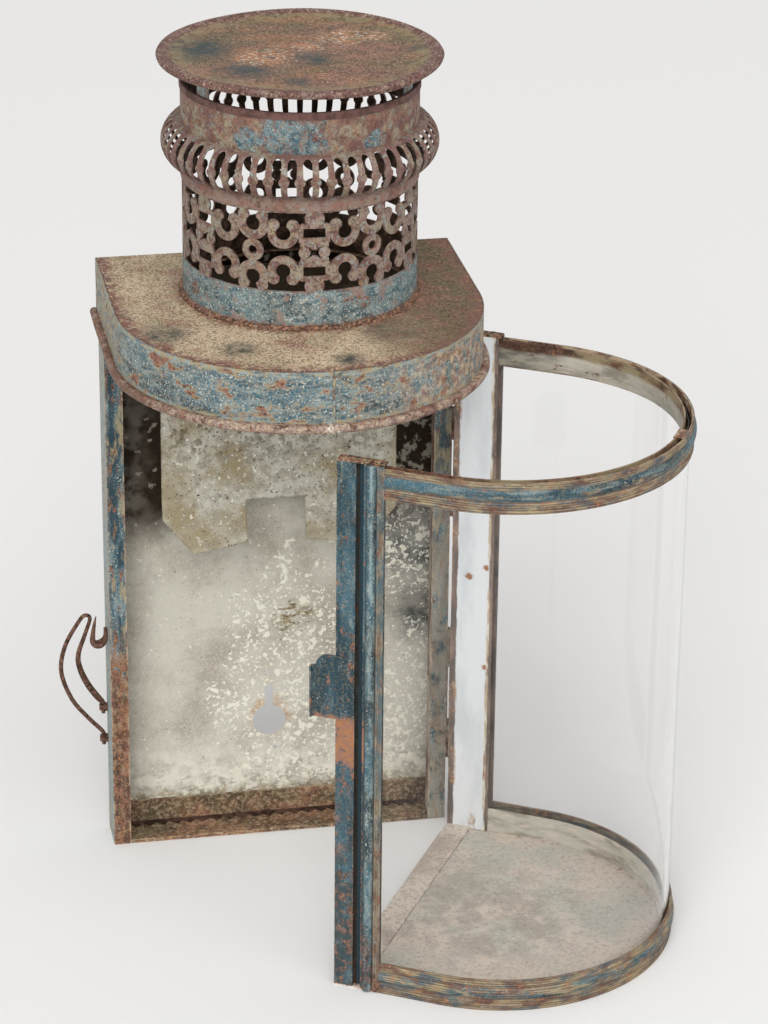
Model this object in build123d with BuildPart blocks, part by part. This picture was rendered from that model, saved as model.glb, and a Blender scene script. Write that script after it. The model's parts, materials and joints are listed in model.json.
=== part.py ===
from build123d import *
import math
import os

# Wall lantern of folded and punched tin with a bow-fronted glazed door, in millimetres.
# +X is the viewer's right, +Y goes into the wall and +Z is up. The origin is the middle of the bottom
# edge of the face that lies against the wall. The door is drawn shut and swung open about its hinge.

# Sheet metal and running clearances
SHEET = 0.8
DOOR_GAP = 2.2
PIN_CLEARANCE = 0.05
KNUCKLE_GAP = 0.3
GLASS_GAP = 0.4

# Case
CASE_WIDTH = 174.4
CASE_DEPTH = 22.0
POST_FACE = 8.7
POST_LIP = 6.0
POST_LIP_START = 4.0
TRAY_UPSTAND = 13.0
TRAY_HEM = 2.0
TOOTH_PITCH = 7.0
TOOTH_DEPTH = 3.4
TOOTH_ROOT = 1.6
KEYHOLE_X = -2.6
KEYHOLE_Z = 54.7
KEYHOLE_RADIUS = 8.8
KEYHOLE_SLOT = 4.4
KEYHOLE_REACH = 20.4
NAIL_HOLE_RADIUS = 1.1
NAIL_HOLES = [(-3.8, 82.2), (0.6, 38.5)]

# Roof
BOW_SETBACK = 77.5
HEAD_GAP = 14.5
SKIRT_HEIGHT = 25.5
RIM_RADIUS = 2.1
RIM_BAND = 4.0
RIM_BAND_WALL = 1.2
RIM_INSET = 0.1
RIM_END = 1.0

# Chimney
CHIMNEY_X = 4.0
CHIMNEY_BACK_GAP = 1.0
DRUM_RADIUS = 56.0
DRUM_WALL = 0.9
FLUE_LAND = 2.0
FOOT_WIDTH = 1.8
FOOT_HEIGHT = 1.8
BASE_BAND = 19.0
DRUM_TOP_BAND = 1.0
GALLERY_HEIGHT = 27.5
GALLERY_LIP = 0.6
GALLERY_MARGIN = 6.4
GALLERY_BULGE = 9.2
GALLERY_SLOTS = 56
SLOT_WIDTH = 4.3
SLOT_HEIGHT = 19.0
RIB_BULB_RADIUS = 2.5
COLLAR_HEIGHT = 20.0
COLLAR_STEP = 0.4
COLLAR_HEM = 0.5
COLLAR_HEM_HEIGHT = 3.6
CAP_GAP = 10.4
CAP_LEGS = 3
CAP_LEG_WIDTH = 9.0
CAP_LEG_LAP = 5.0
CAP_LEG_TURN = 206.0
CAP_RADIUS = 67.5
CAP_RIM_RADIUS = 2.0
CAP_BORDER = 5.0
CAP_BORDER_HEIGHT = 0.5

# Fretwork: three motifs take turns round the drum. Their sizes are for one repeat as drawn flat, which is
# then scaled to the drum.
FRET_REPEATS = 6
FRET_TURN = -2.7
MOTIF_PITCH = 58.6
MOTIF_HEIGHT = 38.5
RING_OUTER = 5.4
RING_HOLE = 2.1
SCROLL_OUTER = 7.9
SCROLL_INNER = 3.5
SCROLL_RISE = 13.0
ARCH_OUTER = 7.4
ARCH_INNER = 3.4
ARCH_RISE = 9.2
NECK_WIDTH = 3.4
TERMINAL_RADIUS = 2.9
SCROLL_TERMINAL = (4.7, 3.9)
ARCH_TERMINAL = (4.5, 3.9)
KNOT_LOBE_RADIUS = 4.7
KNOT_LOBE_RISE = 16.4
KNOT_BAR = (13.5, 4.4)
KNOT_BAR_RISE = 4.9
KNOT_SHOULDER = (12.6, 2.4)
KNOT_SHOULDER_RISE = 12.9
KNOT_SIDE = (2.3, 9.0)
KNOT_SIDE_REACH = 6.3
KNOT_DISC_RADIUS = 2.8
KNOT_DISC_REACH = 4.7
KNOT_DISC_RISE = 4.2

# Reflector
REFLECTOR_WIDTH = 119.0
REFLECTOR_FRONT = 19.6
REFLECTOR_FOLD_Z = 190.0
REFLECTOR_DROP = 22.0
REFLECTOR_TIP = 26.0
REFLECTOR_CHAMFER = (15.0, 18.0)
REFLECTOR_BEND = 12.0
NOTCH_WIDTH = 30.0
NOTCH_X = -2.0

# Door
DOOR_OPEN = 59.5
DOOR_HEIGHT = 276.0
STILE_DEPTH = 23.0
STILE_WIDTH = 6.0
STILE_INNER_DEPTH = 22.0
STILE_RISE = 1.2
STILE_STRIP = 9.3
GROOVE_WIDTH = 4.0
GROOVE_DEPTH = 4.0
STILE_BEAD_RADIUS = 2.4
STILE_RIDGE_RADIUS = 1.1
STILE_BEAD_INSET = 6.1
STILE_RIDGE_INSETS = [2.4, 0.9]
TOP_RAIL = 15.0
BOTTOM_RAIL = 16.5
RAIL_WALL = 1.2
RAIL_RIDGE_RADIUS = 0.9
RAIL_BEAD_RADIUS = 4.0
RAIL_BEAD_PROUD = 1.3
RAIL_BEAD_INSET = 9.0
RAIL_RIDGE_INSETS = [1.0, 2.9, 4.8, 13.6]
GLASS = 2.2
GLASS_TOP_GAP = 3.0
GLASS_LAP = 6.0
LINER_HEIGHT = 13.0
SILL_WIDTH = 13.0
CLIP_WIDTH = 10.0
CLIP_LEG = 6.0
CLIP_SHEET = 0.6
TAB_Z = 145.0
TAB_HEIGHT = 33.0
TAB_REACH = 9.6
TAB_CORNER = 6.0
TAB_CHAMFER = 5.0
TAB_CURL = 2.6
TAB_HOLE_RADIUS = 1.1
TAB_HOLE_FROM_BOTTOM = 10.0
TAB_HOLE_FROM_END = 6.3

# Door hinges: each is the height of its lower end and its length
HINGE_OFFSET = 2.8
KNUCKLE_RADIUS = 1.8
PIN_RADIUS = 1.0
PIN_HEAD_RADIUS = 1.8
PIN_HEAD = 1.2
PIN_TAIL = 1.5
LEAF = 0.7
LEAF_WIDTH = 8.0
LEAF_STANDOFF = 2.3
CASE_KNUCKLE_SHARE = 0.3
HINGES = {"upper": (174.0, 60.0), "lower": (36.0, 75.0)}

# Hook and swinging wire loop on the left post
HOOK_SHEET = 2.0
HOOK_WIDTH = 4.0
HOOK_FRONT_INSET = 0.5
HOOK_Z = 124.0
HOOK_ROOT = 7.0
HOOK_ARM = 7.6
HOOK_SAG = 4.5
HOOK_PRONG = 17.0
HOOK_LEAN = 2.6
WIRE_RADIUS = 1.2
EYE_RADIUS = 2.1
EYE_HEIGHT = 3.0
EYE_LEVELS = [51.0, 69.0]
LOOP_TAIL = 2.0
LOOP_RISE = 0.6
LOOP_OUTER_LEG = (12.0, 73.0)
LOOP_INNER_LEG = (7.4, 83.0)
LOOP_OUTER_BOW = (21.4, 94.0)
LOOP_OUTER_TIP = (9.6, 122.0)
LOOP_INNER_TIP = (5.4, 121.0)
LOOP_INNER_BOW = (12.4, 100.0)
LOOP_TIP_LEAN = (-0.6, 1.0)

# Sizes that follow from the ones above
half_case = CASE_WIDTH / 2
door_width = CASE_WIDTH + 2 * SHEET
half_door = door_width / 2
skirt_low = DOOR_HEIGHT + HEAD_GAP
roof_top = skirt_low + SKIRT_HEIGHT
roof_under = roof_top - SHEET
chimney_y = -(DRUM_RADIUS + CHIMNEY_BACK_GAP)
fret_pitch = 2 * math.pi * DRUM_RADIUS / FRET_REPEATS
fret_scale = fret_pitch / MOTIF_PITCH
fret_height = MOTIF_HEIGHT * fret_scale
drum_height = BASE_BAND + fret_height + DRUM_TOP_BAND
gallery_low = roof_top + drum_height
collar_low = gallery_low + GALLERY_HEIGHT
collar_top = collar_low + COLLAR_HEIGHT
cap_under = collar_top + CAP_GAP
collar_radius = DRUM_RADIUS + COLLAR_STEP
hinge_x = half_case + HINGE_OFFSET
hinge_y = -(CASE_DEPTH + DOOR_GAP / 2)
door_back = -(CASE_DEPTH + DOOR_GAP)
stile_front = door_back - STILE_DEPTH
stile_top = DOOR_HEIGHT + STILE_RISE
rail_inner = half_door - RAIL_WALL
glass_outer = rail_inner - GLASS_GAP
glass_inner = glass_outer - GLASS
liner_outer = glass_inner - GLASS_GAP
liner_inner = liner_outer - SHEET
glass_end = stile_front + GLASS_LAP
bow_leg = BOW_SETBACK + stile_front
glass_leg = BOW_SETBACK + glass_end
eye_x = -(half_case + EYE_RADIUS)
eye_y = -EYE_RADIUS

os.makedirs("parts", exist_ok=True)


def finish(builder, name):
    """Label a finished piece and write it."""
    builder.part.label = name
    export_step(builder.part, f"parts/{name}.step")


def turned(angle):
    """Level plane whose coordinates are the closed lantern's, swung about the door hinge."""
    c = math.cos(math.radians(angle))
    s = math.sin(math.radians(angle))
    shift = (hinge_x - c * hinge_x + s * hinge_y, hinge_y - s * hinge_x - c * hinge_y, 0)
    return Plane(origin=shift, x_dir=(c, s, 0), z_dir=(0, 0, 1))


case_plane = Plane.XY
door_plane = turned(DOOR_OPEN)


def section_plane(base):
    """Upright plane through the bow's centre: x is the distance from that centre, y is the height."""
    centre = base.from_local_coords((0, -BOW_SETBACK, 0))
    return Plane(origin=centre, x_dir=base.x_dir, z_dir=base.x_dir.cross(Vector(0, 0, 1)))


def side_plane(base, offset=0.0):
    """Plane along the lantern's depth: x is the depth towards the wall, y is the height."""
    origin = base.from_local_coords((offset, 0, 0))
    return Plane(origin=origin, x_dir=base.y_dir, z_dir=base.x_dir)


def middle_plane(base):
    """Plane that halves the bow into its left and right sides."""
    return Plane(origin=base.from_local_coords((0, 0, 0)), z_dir=base.x_dir)


def bow(section, base, leg):
    """Run a section round the bowed front and back along both straight sides."""
    centre = base.from_local_coords((0, -BOW_SETBACK, 0))
    revolve(section.sketch, axis=Axis(centre, (0, 0, -1)), revolution_arc=90)
    extrude(section.sketch, amount=-leg)
    mirror(about=middle_plane(base))


def bow_outline(radius, back):
    """Draw a bow-fronted plate outline in the current sketch."""
    with BuildLine() as outline:
        Line((radius, -BOW_SETBACK), (radius, back))
        Line((radius, back), (-radius, back))
        Line((-radius, back), (-radius, -BOW_SETBACK))
        RadiusArc((-radius, -BOW_SETBACK), (radius, -BOW_SETBACK), -radius)
    make_face(outline.edges())


def box_between(low, high):
    """Block between two corners, in the current part."""
    size = [high[i] - low[i] for i in range(3)]
    middle = [(high[i] + low[i]) / 2 for i in range(3)]
    with Locations(tuple(middle)):
        Box(*size)


# Case
with BuildPart() as back_panel:
    box_between((-half_case, -SHEET, 0), (half_case, 0, roof_under))
    with BuildSketch(Plane.XZ) as keyhole:
        with Locations((KEYHOLE_X, KEYHOLE_Z)):
            Circle(KEYHOLE_RADIUS)
        with Locations((KEYHOLE_X, KEYHOLE_Z + (KEYHOLE_REACH - KEYHOLE_SLOT / 2) / 2)):
            Rectangle(KEYHOLE_SLOT, KEYHOLE_REACH - KEYHOLE_SLOT / 2)
        with Locations((KEYHOLE_X, KEYHOLE_Z + KEYHOLE_REACH - KEYHOLE_SLOT / 2)):
            Circle(KEYHOLE_SLOT / 2)
        with Locations(*NAIL_HOLES):
            Circle(NAIL_HOLE_RADIUS)
    extrude(amount=SHEET, both=True, mode=Mode.SUBTRACT)
finish(back_panel, "back_panel")

for side, name in ((-1, "left_post"), (1, "right_post")):
    with BuildPart() as post:
        with BuildSketch() as channel:
            with BuildLine():
                web = side * half_case
                inner = side * (half_case - SHEET)
                edge = side * (half_case - POST_FACE)
                Polyline(
                    (web, -SHEET),
                    (web, -CASE_DEPTH),
                    (edge, -CASE_DEPTH),
                    (edge, -CASE_DEPTH + SHEET),
                    (inner, -CASE_DEPTH + SHEET),
                    (inner, -SHEET),
                    close=True,
                )
            make_face()
        extrude(amount=roof_under)
        with BuildSketch(Plane.XY.offset(POST_LIP_START)) as lip:
            lip_x = side * (half_case - POST_FACE + SHEET / 2)
            with Locations((lip_x, -CASE_DEPTH + SHEET + POST_LIP / 2)):
                Rectangle(SHEET, POST_LIP)
        extrude(amount=roof_under - POST_LIP_START)
    finish(post, name)

with BuildPart() as bottom_tray:
    tray_half = half_case - SHEET
    front_half = half_case - POST_FACE
    box_between((-tray_half, -CASE_DEPTH + SHEET, 0), (tray_half, -SHEET, SHEET))
    box_between((-front_half, -CASE_DEPTH, 0), (front_half, -CASE_DEPTH + SHEET, TRAY_HEM))
    box_between((-tray_half, -2 * SHEET, SHEET), (tray_half, -SHEET, SHEET + TRAY_UPSTAND))
finish(bottom_tray, "bottom_tray")

# Strip with a saw-tooth edge along the back of the tray's floor
with BuildPart() as tray_teeth:
    tooth_count = int(2 * front_half / TOOTH_PITCH)
    teeth_left = -tooth_count * TOOTH_PITCH / 2
    teeth_back = -2 * SHEET
    teeth_root = teeth_back - TOOTH_ROOT
    zigzag = [(teeth_left, teeth_root)]
    for k in range(tooth_count):
        zigzag.append((teeth_left + (k + 0.5) * TOOTH_PITCH, teeth_root - TOOTH_DEPTH))
        zigzag.append((teeth_left + (k + 1) * TOOTH_PITCH, teeth_root))
    with BuildSketch(Plane.XY.offset(SHEET)) as teeth:
        with BuildLine():
            Polyline((-teeth_left, teeth_back), (teeth_left, teeth_back), *zigzag, close=True)
        make_face()
    extrude(amount=SHEET)
finish(tray_teeth, "tray_teeth")

# Roof
with BuildPart() as roof_plate:
    with BuildSketch(Plane.XY.offset(roof_under)) as roof_outline:
        bow_outline(half_case, 0)
        with Locations((CHIMNEY_X, chimney_y)):
            Circle(DRUM_RADIUS - DRUM_WALL - FLUE_LAND, mode=Mode.SUBTRACT)
    extrude(amount=SHEET)
finish(roof_plate, "roof_plate")

with BuildPart() as roof_skirt:
    with BuildSketch(section_plane(case_plane)) as skirt_section:
        with Locations((half_case + SHEET / 2, roof_top - SKIRT_HEIGHT / 2)):
            Rectangle(SHEET, SKIRT_HEIGHT)
    bow(skirt_section, case_plane, BOW_SETBACK)
finish(roof_skirt, "roof_skirt")

with BuildPart() as roof_rim:
    with BuildSketch(section_plane(case_plane)) as rim_section:
        with Locations((half_case + RIM_BAND_WALL / 2, skirt_low - RIM_BAND / 2)):
            Rectangle(RIM_BAND_WALL, RIM_BAND)
        with Locations((half_case + RIM_INSET + RIM_RADIUS, skirt_low - RIM_RADIUS)):
            Circle(RIM_RADIUS)
    bow(rim_section, case_plane, BOW_SETBACK - RIM_END)
finish(roof_rim, "roof_rim")

# Reflector that hangs from the roof in front of the back panel, its lobes bent forwards
with BuildPart() as reflector:
    half_reflector = REFLECTOR_WIDTH / 2
    tip_z = REFLECTOR_FOLD_Z - REFLECTOR_TIP
    tip_y = -REFLECTOR_FRONT - REFLECTOR_TIP * math.tan(math.radians(REFLECTOR_BEND))
    with BuildSketch(side_plane(case_plane)) as reflector_section:
        with BuildLine():
            Polyline(
                (-REFLECTOR_FRONT, roof_under),
                (-REFLECTOR_FRONT, REFLECTOR_FOLD_Z),
                (tip_y, tip_z),
                (tip_y + SHEET, tip_z),
                (-REFLECTOR_FRONT + SHEET, REFLECTOR_FOLD_Z),
                (-REFLECTOR_FRONT + SHEET, roof_under),
                close=True,
            )
        make_face()
    extrude(amount=half_reflector, both=True)
    with BuildSketch(Plane.XZ) as reflector_outline:
        with BuildLine():
            notch_left = NOTCH_X - NOTCH_WIDTH / 2
            notch_right = NOTCH_X + NOTCH_WIDTH / 2
            lobe_z = REFLECTOR_FOLD_Z - REFLECTOR_DROP
            chamfer_x = half_reflector - REFLECTOR_CHAMFER[0]
            chamfer_z = tip_z + REFLECTOR_CHAMFER[1]
            Polyline(
                (-half_reflector, roof_under),
                (-half_reflector, chamfer_z),
                (-chamfer_x, tip_z),
                (notch_left, lobe_z),
                (notch_left, REFLECTOR_FOLD_Z),
                (notch_right, REFLECTOR_FOLD_Z),
                (notch_right, lobe_z),
                (chamfer_x, tip_z),
                (half_reflector, chamfer_z),
                (half_reflector, roof_under),
                close=True,
            )
        make_face()
    extrude(amount=REFLECTOR_FRONT + REFLECTOR_TIP, mode=Mode.INTERSECT)
finish(reflector, "reflector")

# Chimney
chimney_plane = Plane(origin=(CHIMNEY_X, chimney_y, 0))
chimney_axis = Axis((CHIMNEY_X, chimney_y, 0), (0, 0, 1))
chimney_section = Plane(origin=(CHIMNEY_X, chimney_y, 0), x_dir=(1, 0, 0), z_dir=(0, -1, 0))


def tube(outer, wall, low, high):
    """Upright ring on the chimney's axis, in the current part."""
    with BuildSketch(chimney_plane.offset(low)) as tube_section:
        Circle(outer)
        Circle(outer - wall, mode=Mode.SUBTRACT)
    extrude(tube_section.sketch, amount=high - low)


def outward_plane(turn, height, radius):
    """Plane that faces outwards from the chimney's axis: x runs round it, y is the height."""
    direction = (math.cos(math.radians(turn)), math.sin(math.radians(turn)), 0)
    return Plane(
        origin=(CHIMNEY_X + radius * direction[0], chimney_y + radius * direction[1], height),
        x_dir=(-direction[1], direction[0], 0),
        z_dir=direction,
    )


with BuildPart() as chimney_foot:
    with BuildSketch(chimney_section) as foot_section:
        with BuildLine():
            Line((DRUM_RADIUS, roof_top), (DRUM_RADIUS + FOOT_WIDTH, roof_top))
            RadiusArc(
                (DRUM_RADIUS + FOOT_WIDTH, roof_top),
                (DRUM_RADIUS, roof_top + FOOT_HEIGHT),
                -max(FOOT_WIDTH, FOOT_HEIGHT),
            )
            Line((DRUM_RADIUS, roof_top + FOOT_HEIGHT), (DRUM_RADIUS, roof_top))
        make_face()
    revolve(axis=chimney_axis)
finish(chimney_foot, "chimney_foot")

fret_middle = roof_top + BASE_BAND + fret_height / 2


def scroll(outer, inner, terminal):
    """Arc that opens upwards and ends in two round terminals."""
    with BuildSketch() as shape:
        Circle(outer)
        with Locations((0, terminal[1] + outer)):
            Rectangle(2 * outer, 2 * outer, mode=Mode.SUBTRACT)
        with Locations((-terminal[0], terminal[1]), (terminal[0], terminal[1])):
            Circle(TERMINAL_RADIUS)
        Circle(inner, mode=Mode.SUBTRACT)
        with Locations((0, outer / 2)):
            Rectangle(NECK_WIDTH, outer, mode=Mode.SUBTRACT)
    return shape.sketch


def ring():
    with BuildSketch() as shape:
        Circle(RING_OUTER)
        Circle(RING_HOLE, mode=Mode.SUBTRACT)
    return shape.sketch


def knot():
    with BuildSketch() as shape:
        with Locations((0, KNOT_LOBE_RISE), (0, -KNOT_LOBE_RISE)):
            Circle(KNOT_LOBE_RADIUS)
        with Locations((0, KNOT_BAR_RISE), (0, -KNOT_BAR_RISE)):
            Rectangle(*KNOT_BAR)
        with Locations((0, KNOT_SHOULDER_RISE), (0, -KNOT_SHOULDER_RISE)):
            Rectangle(*KNOT_SHOULDER)
        with GridLocations(2 * KNOT_SIDE_REACH, 2 * ARCH_RISE, 2, 2):
            Rectangle(*KNOT_SIDE)
        with Locations((KNOT_DISC_REACH, 0), (-KNOT_DISC_REACH, 0)):
            Circle(KNOT_DISC_RADIUS)
        with Locations((0, KNOT_DISC_RISE), (0, -KNOT_DISC_RISE)):
            Circle(KNOT_DISC_RADIUS)
    return shape.sketch


# One repeat of the fretwork, laid flat, with the ring motif at each end of it
with BuildSketch() as fret_holes:
    with Locations((MOTIF_PITCH / 2, 0)):
        Rectangle(MOTIF_PITCH + 2 * SCROLL_OUTER, MOTIF_HEIGHT)
    ring_scroll = scroll(SCROLL_OUTER, SCROLL_INNER, SCROLL_TERMINAL)
    arch_scroll = scroll(ARCH_OUTER, ARCH_INNER, ARCH_TERMINAL)
    arch_places = [MOTIF_PITCH * quarter / 4 for quarter in (-1, 1, 3, 5)]
    for up, flip in ((1, 0), (-1, 180)):
        with Locations(*[Location((u, up * SCROLL_RISE, 0), (0, 0, flip)) for u in (0, MOTIF_PITCH)]):
            add(ring_scroll, mode=Mode.SUBTRACT)
        with Locations(*[Location((u, up * ARCH_RISE, 0), (0, 0, flip)) for u in arch_places]):
            add(arch_scroll, mode=Mode.SUBTRACT)
    with Locations((0, 0), (MOTIF_PITCH, 0)):
        add(ring(), mode=Mode.SUBTRACT)
    with Locations((MOTIF_PITCH / 2, 0)):
        add(knot(), mode=Mode.SUBTRACT)
    scale(by=fret_scale)

with BuildPart() as chimney_drum:
    tube(DRUM_RADIUS, DRUM_WALL, roof_top, gallery_low)
    for hole in fret_holes.sketch.faces():
        place = hole.center(CenterOf.BOUNDING_BOX).X
        if -RING_HOLE < place < fret_pitch - RING_HOLE:
            turn = math.degrees(place / DRUM_RADIUS) + FRET_TURN
            turns = [turn + repeat * 360 / FRET_REPEATS for repeat in range(FRET_REPEATS)]
            with BuildSketch(*[outward_plane(t, fret_middle, DRUM_RADIUS / 2) for t in turns]):
                add(hole.moved(Location((-place, 0, 0))))
            extrude(amount=DRUM_RADIUS, mode=Mode.SUBTRACT)
finish(chimney_drum, "chimney_drum")

with BuildPart() as chimney_gallery:
    margin_top = gallery_low + GALLERY_MARGIN
    bulge_middle = (margin_top + collar_low) / 2
    gallery_radius = DRUM_RADIUS + GALLERY_LIP
    with BuildSketch(chimney_section) as gallery_section:
        with BuildLine():
            Line((gallery_radius, gallery_low), (gallery_radius, margin_top))
            ThreePointArc(
                (gallery_radius, margin_top),
                (gallery_radius + GALLERY_BULGE, bulge_middle),
                (collar_radius, collar_low),
            )
            Line((collar_radius, collar_low), (collar_radius - DRUM_WALL, collar_low))
            ThreePointArc(
                (collar_radius - DRUM_WALL, collar_low),
                (gallery_radius + GALLERY_BULGE - DRUM_WALL, bulge_middle),
                (gallery_radius - DRUM_WALL, margin_top),
            )
            Polyline(
                (gallery_radius - DRUM_WALL, margin_top),
                (DRUM_RADIUS - DRUM_WALL, margin_top),
                (DRUM_RADIUS - DRUM_WALL, gallery_low),
                (gallery_radius, gallery_low),
            )
        make_face()
    revolve(axis=chimney_axis)
    slot_pitch = 2 * math.pi * (gallery_radius + GALLERY_BULGE) / GALLERY_SLOTS
    slot_start = DRUM_RADIUS - 2 * DRUM_WALL
    slot_turns = [k * 360 / GALLERY_SLOTS for k in range(GALLERY_SLOTS)]
    with BuildSketch(*[outward_plane(t, bulge_middle, slot_start) for t in slot_turns]):
        SlotOverall(SLOT_HEIGHT, SLOT_WIDTH, rotation=90)
        with Locations((slot_pitch / 2, 0), (-slot_pitch / 2, 0)):
            Circle(RIB_BULB_RADIUS, mode=Mode.SUBTRACT)
    extrude(amount=2 * GALLERY_BULGE, mode=Mode.SUBTRACT)
finish(chimney_gallery, "chimney_gallery")

with BuildPart() as chimney_collar:
    tube(collar_radius, DRUM_WALL, collar_low, collar_top)
    tube(collar_radius + COLLAR_HEM, DRUM_WALL + COLLAR_HEM, collar_top - COLLAR_HEM_HEIGHT, collar_top)
finish(chimney_collar, "chimney_collar")

with BuildPart() as cap_legs:
    leg_outer = collar_radius - DRUM_WALL
    tube(leg_outer, SHEET, collar_top - CAP_LEG_LAP, cap_under)
    leg_turns = [CAP_LEG_TURN + k * 360 / CAP_LEGS for k in range(CAP_LEGS)]
    with BuildSketch(*[outward_plane(t, cap_under, leg_outer / 2) for t in leg_turns]):
        Rectangle(CAP_LEG_WIDTH, 2 * (CAP_GAP + CAP_LEG_LAP))
    extrude(amount=leg_outer, mode=Mode.INTERSECT)
finish(cap_legs, "cap_legs")

with BuildPart() as cap_disc:
    rim_centre = CAP_RADIUS - CAP_RIM_RADIUS
    with BuildSketch(chimney_section) as cap_section:
        with Locations((rim_centre / 2, cap_under + SHEET / 2)):
            Rectangle(rim_centre, SHEET)
        with Locations((rim_centre, cap_under + SHEET / 2)):
            Circle(CAP_RIM_RADIUS)
        with Locations((rim_centre - CAP_BORDER / 2, cap_under + SHEET + CAP_BORDER_HEIGHT / 2)):
            Rectangle(CAP_BORDER, CAP_BORDER_HEIGHT)
    revolve(axis=chimney_axis)
finish(cap_disc, "cap_disc")

# Door
with BuildPart() as door_floor:
    with BuildSketch(door_plane) as floor_outline:
        bow_outline(rail_inner, stile_front)
        with Locations((0, (door_back + stile_front) / 2)):
            Rectangle(door_width, STILE_DEPTH)
    extrude(amount=SHEET)
finish(door_floor, "door_floor")

with BuildPart() as door_sill:
    with BuildSketch(door_plane.offset(SHEET)) as sill_outline:
        with Locations((0, door_back - SILL_WIDTH / 2)):
            Rectangle(door_width - 2 * STILE_WIDTH, SILL_WIDTH)
    extrude(amount=SHEET)
finish(door_sill, "door_sill")


def rail_section(base, low, height):
    """Upright strip with fine ridges along its foot and top and one bold bead between them."""
    with BuildSketch(section_plane(base)) as section:
        with Locations((half_door - RAIL_WALL / 2, low + height / 2)):
            Rectangle(RAIL_WALL, height)
        with Locations((half_door + RAIL_BEAD_PROUD - RAIL_BEAD_RADIUS, low + RAIL_BEAD_INSET)):
            Circle(RAIL_BEAD_RADIUS)
        with Locations(*[(half_door - RAIL_WALL / 2, low + inset) for inset in RAIL_RIDGE_INSETS]):
            Circle(RAIL_RIDGE_RADIUS)
        with Locations((rail_inner - RAIL_BEAD_RADIUS, low + height / 2)):
            Rectangle(2 * RAIL_BEAD_RADIUS, height, mode=Mode.SUBTRACT)
    return section


for name, low, height in (("top_rail", DOOR_HEIGHT - TOP_RAIL, TOP_RAIL), ("bottom_rail", 0, BOTTOM_RAIL)):
    with BuildPart() as rail:
        bow(rail_section(door_plane, low, height), door_plane, bow_leg)
    finish(rail, name)


def bent_strip(inner, outer, low, high):
    """Upright strip inside the rails, from one stile's channel round to the other's."""
    with BuildSketch(section_plane(door_plane)) as section:
        with Locations(((inner + outer) / 2, (low + high) / 2)):
            Rectangle(outer - inner, high - low)
    return section


strips = {
    "top_liner": (liner_inner, liner_outer, DOOR_HEIGHT - LINER_HEIGHT, DOOR_HEIGHT),
    "bottom_liner": (liner_inner, liner_outer, SHEET, SHEET + LINER_HEIGHT),
    "door_glass": (glass_inner, glass_outer, SHEET, DOOR_HEIGHT - GLASS_TOP_GAP),
}
for name, sizes in strips.items():
    with BuildPart() as strip:
        bow(bent_strip(*sizes), door_plane, glass_leg)
    finish(strip, name)

def flat_between(first, second):
    """Rectangle between two corners, in the current sketch."""
    with Locations(((first[0] + second[0]) / 2, (first[1] + second[1]) / 2)):
        Rectangle(abs(second[0] - first[0]), abs(second[1] - first[1]))


# Stiles: folded channels whose outer web has a flat strip, a groove and a beaded front
for side, name in ((-1, "latch_stile"), (1, "hinge_stile")):
    web = side * half_door
    web_inner = side * (half_door - SHEET)
    inside = side * (half_door - STILE_WIDTH)
    groove_floor = side * (half_door - GROOVE_DEPTH)
    groove_back = door_back - STILE_STRIP
    groove_front = groove_back - GROOVE_WIDTH
    with BuildPart() as stile:
        with BuildSketch(door_plane.offset(SHEET)) as stile_channel:
            flat_between((inside, door_back - STILE_INNER_DEPTH), (inside + side * SHEET, door_back))
            flat_between((inside, door_back - SHEET), (web, door_back))
            flat_between((web_inner, groove_back), (web, door_back))
            flat_between((groove_floor, groove_back), (web, groove_back + SHEET))
            flat_between((groove_floor, groove_front), (groove_floor + side * SHEET, groove_back))
            flat_between((groove_floor, groove_front - SHEET), (web, groove_front))
            flat_between((web_inner, stile_front), (web, groove_front))
        extrude(amount=stile_top - SHEET)
    finish(stile, name)
    with BuildPart() as stile_cap:
        with BuildSketch(door_plane.offset(stile_top)) as cap_plate:
            flat_between((inside, stile_front), (web, door_back))
        extrude(amount=SHEET)
    finish(stile_cap, name + "_cap")
    with BuildPart() as stile_bead:
        with BuildSketch(door_plane.offset(SHEET)) as bead_section:
            with Locations((side * half_door, stile_front + STILE_BEAD_INSET)):
                Circle(STILE_BEAD_RADIUS)
            with Locations(*[(side * half_door, stile_front + inset) for inset in STILE_RIDGE_INSETS]):
                Circle(STILE_RIDGE_RADIUS)
            with Locations((side * (half_door - STILE_WIDTH / 2), stile_front)):
                Rectangle(STILE_WIDTH, 2 * STILE_DEPTH, mode=Mode.SUBTRACT)
        extrude(amount=stile_top - SHEET)
    finish(stile_bead, name + "_bead")

with BuildPart() as glass_clip:
    clip_inner = liner_inner - CLIP_SHEET
    with BuildSketch(section_plane(door_plane)) as clip_section:
        with BuildLine():
            Polyline(
                (half_door, DOOR_HEIGHT),
                (half_door, DOOR_HEIGHT + CLIP_SHEET),
                (clip_inner, DOOR_HEIGHT + CLIP_SHEET),
                (clip_inner, DOOR_HEIGHT - CLIP_LEG),
                (liner_inner, DOOR_HEIGHT - CLIP_LEG),
                (liner_inner, DOOR_HEIGHT),
                close=True,
            )
        make_face()
    clip_angle = math.degrees(CLIP_WIDTH / half_door)
    bow_centre = door_plane.from_local_coords((0, -BOW_SETBACK, 0))
    revolve(axis=Axis(bow_centre, (0, 0, -1)), revolution_arc=90 + clip_angle / 2)
    with BuildSketch(door_plane.offset(DOOR_HEIGHT - CLIP_LEG)) as clip_width:
        with Locations((0, -BOW_SETBACK - half_door)):
            Rectangle(CLIP_WIDTH, half_door)
    extrude(amount=CLIP_LEG + CLIP_SHEET, mode=Mode.INTERSECT)
finish(glass_clip, "glass_clip")

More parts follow.
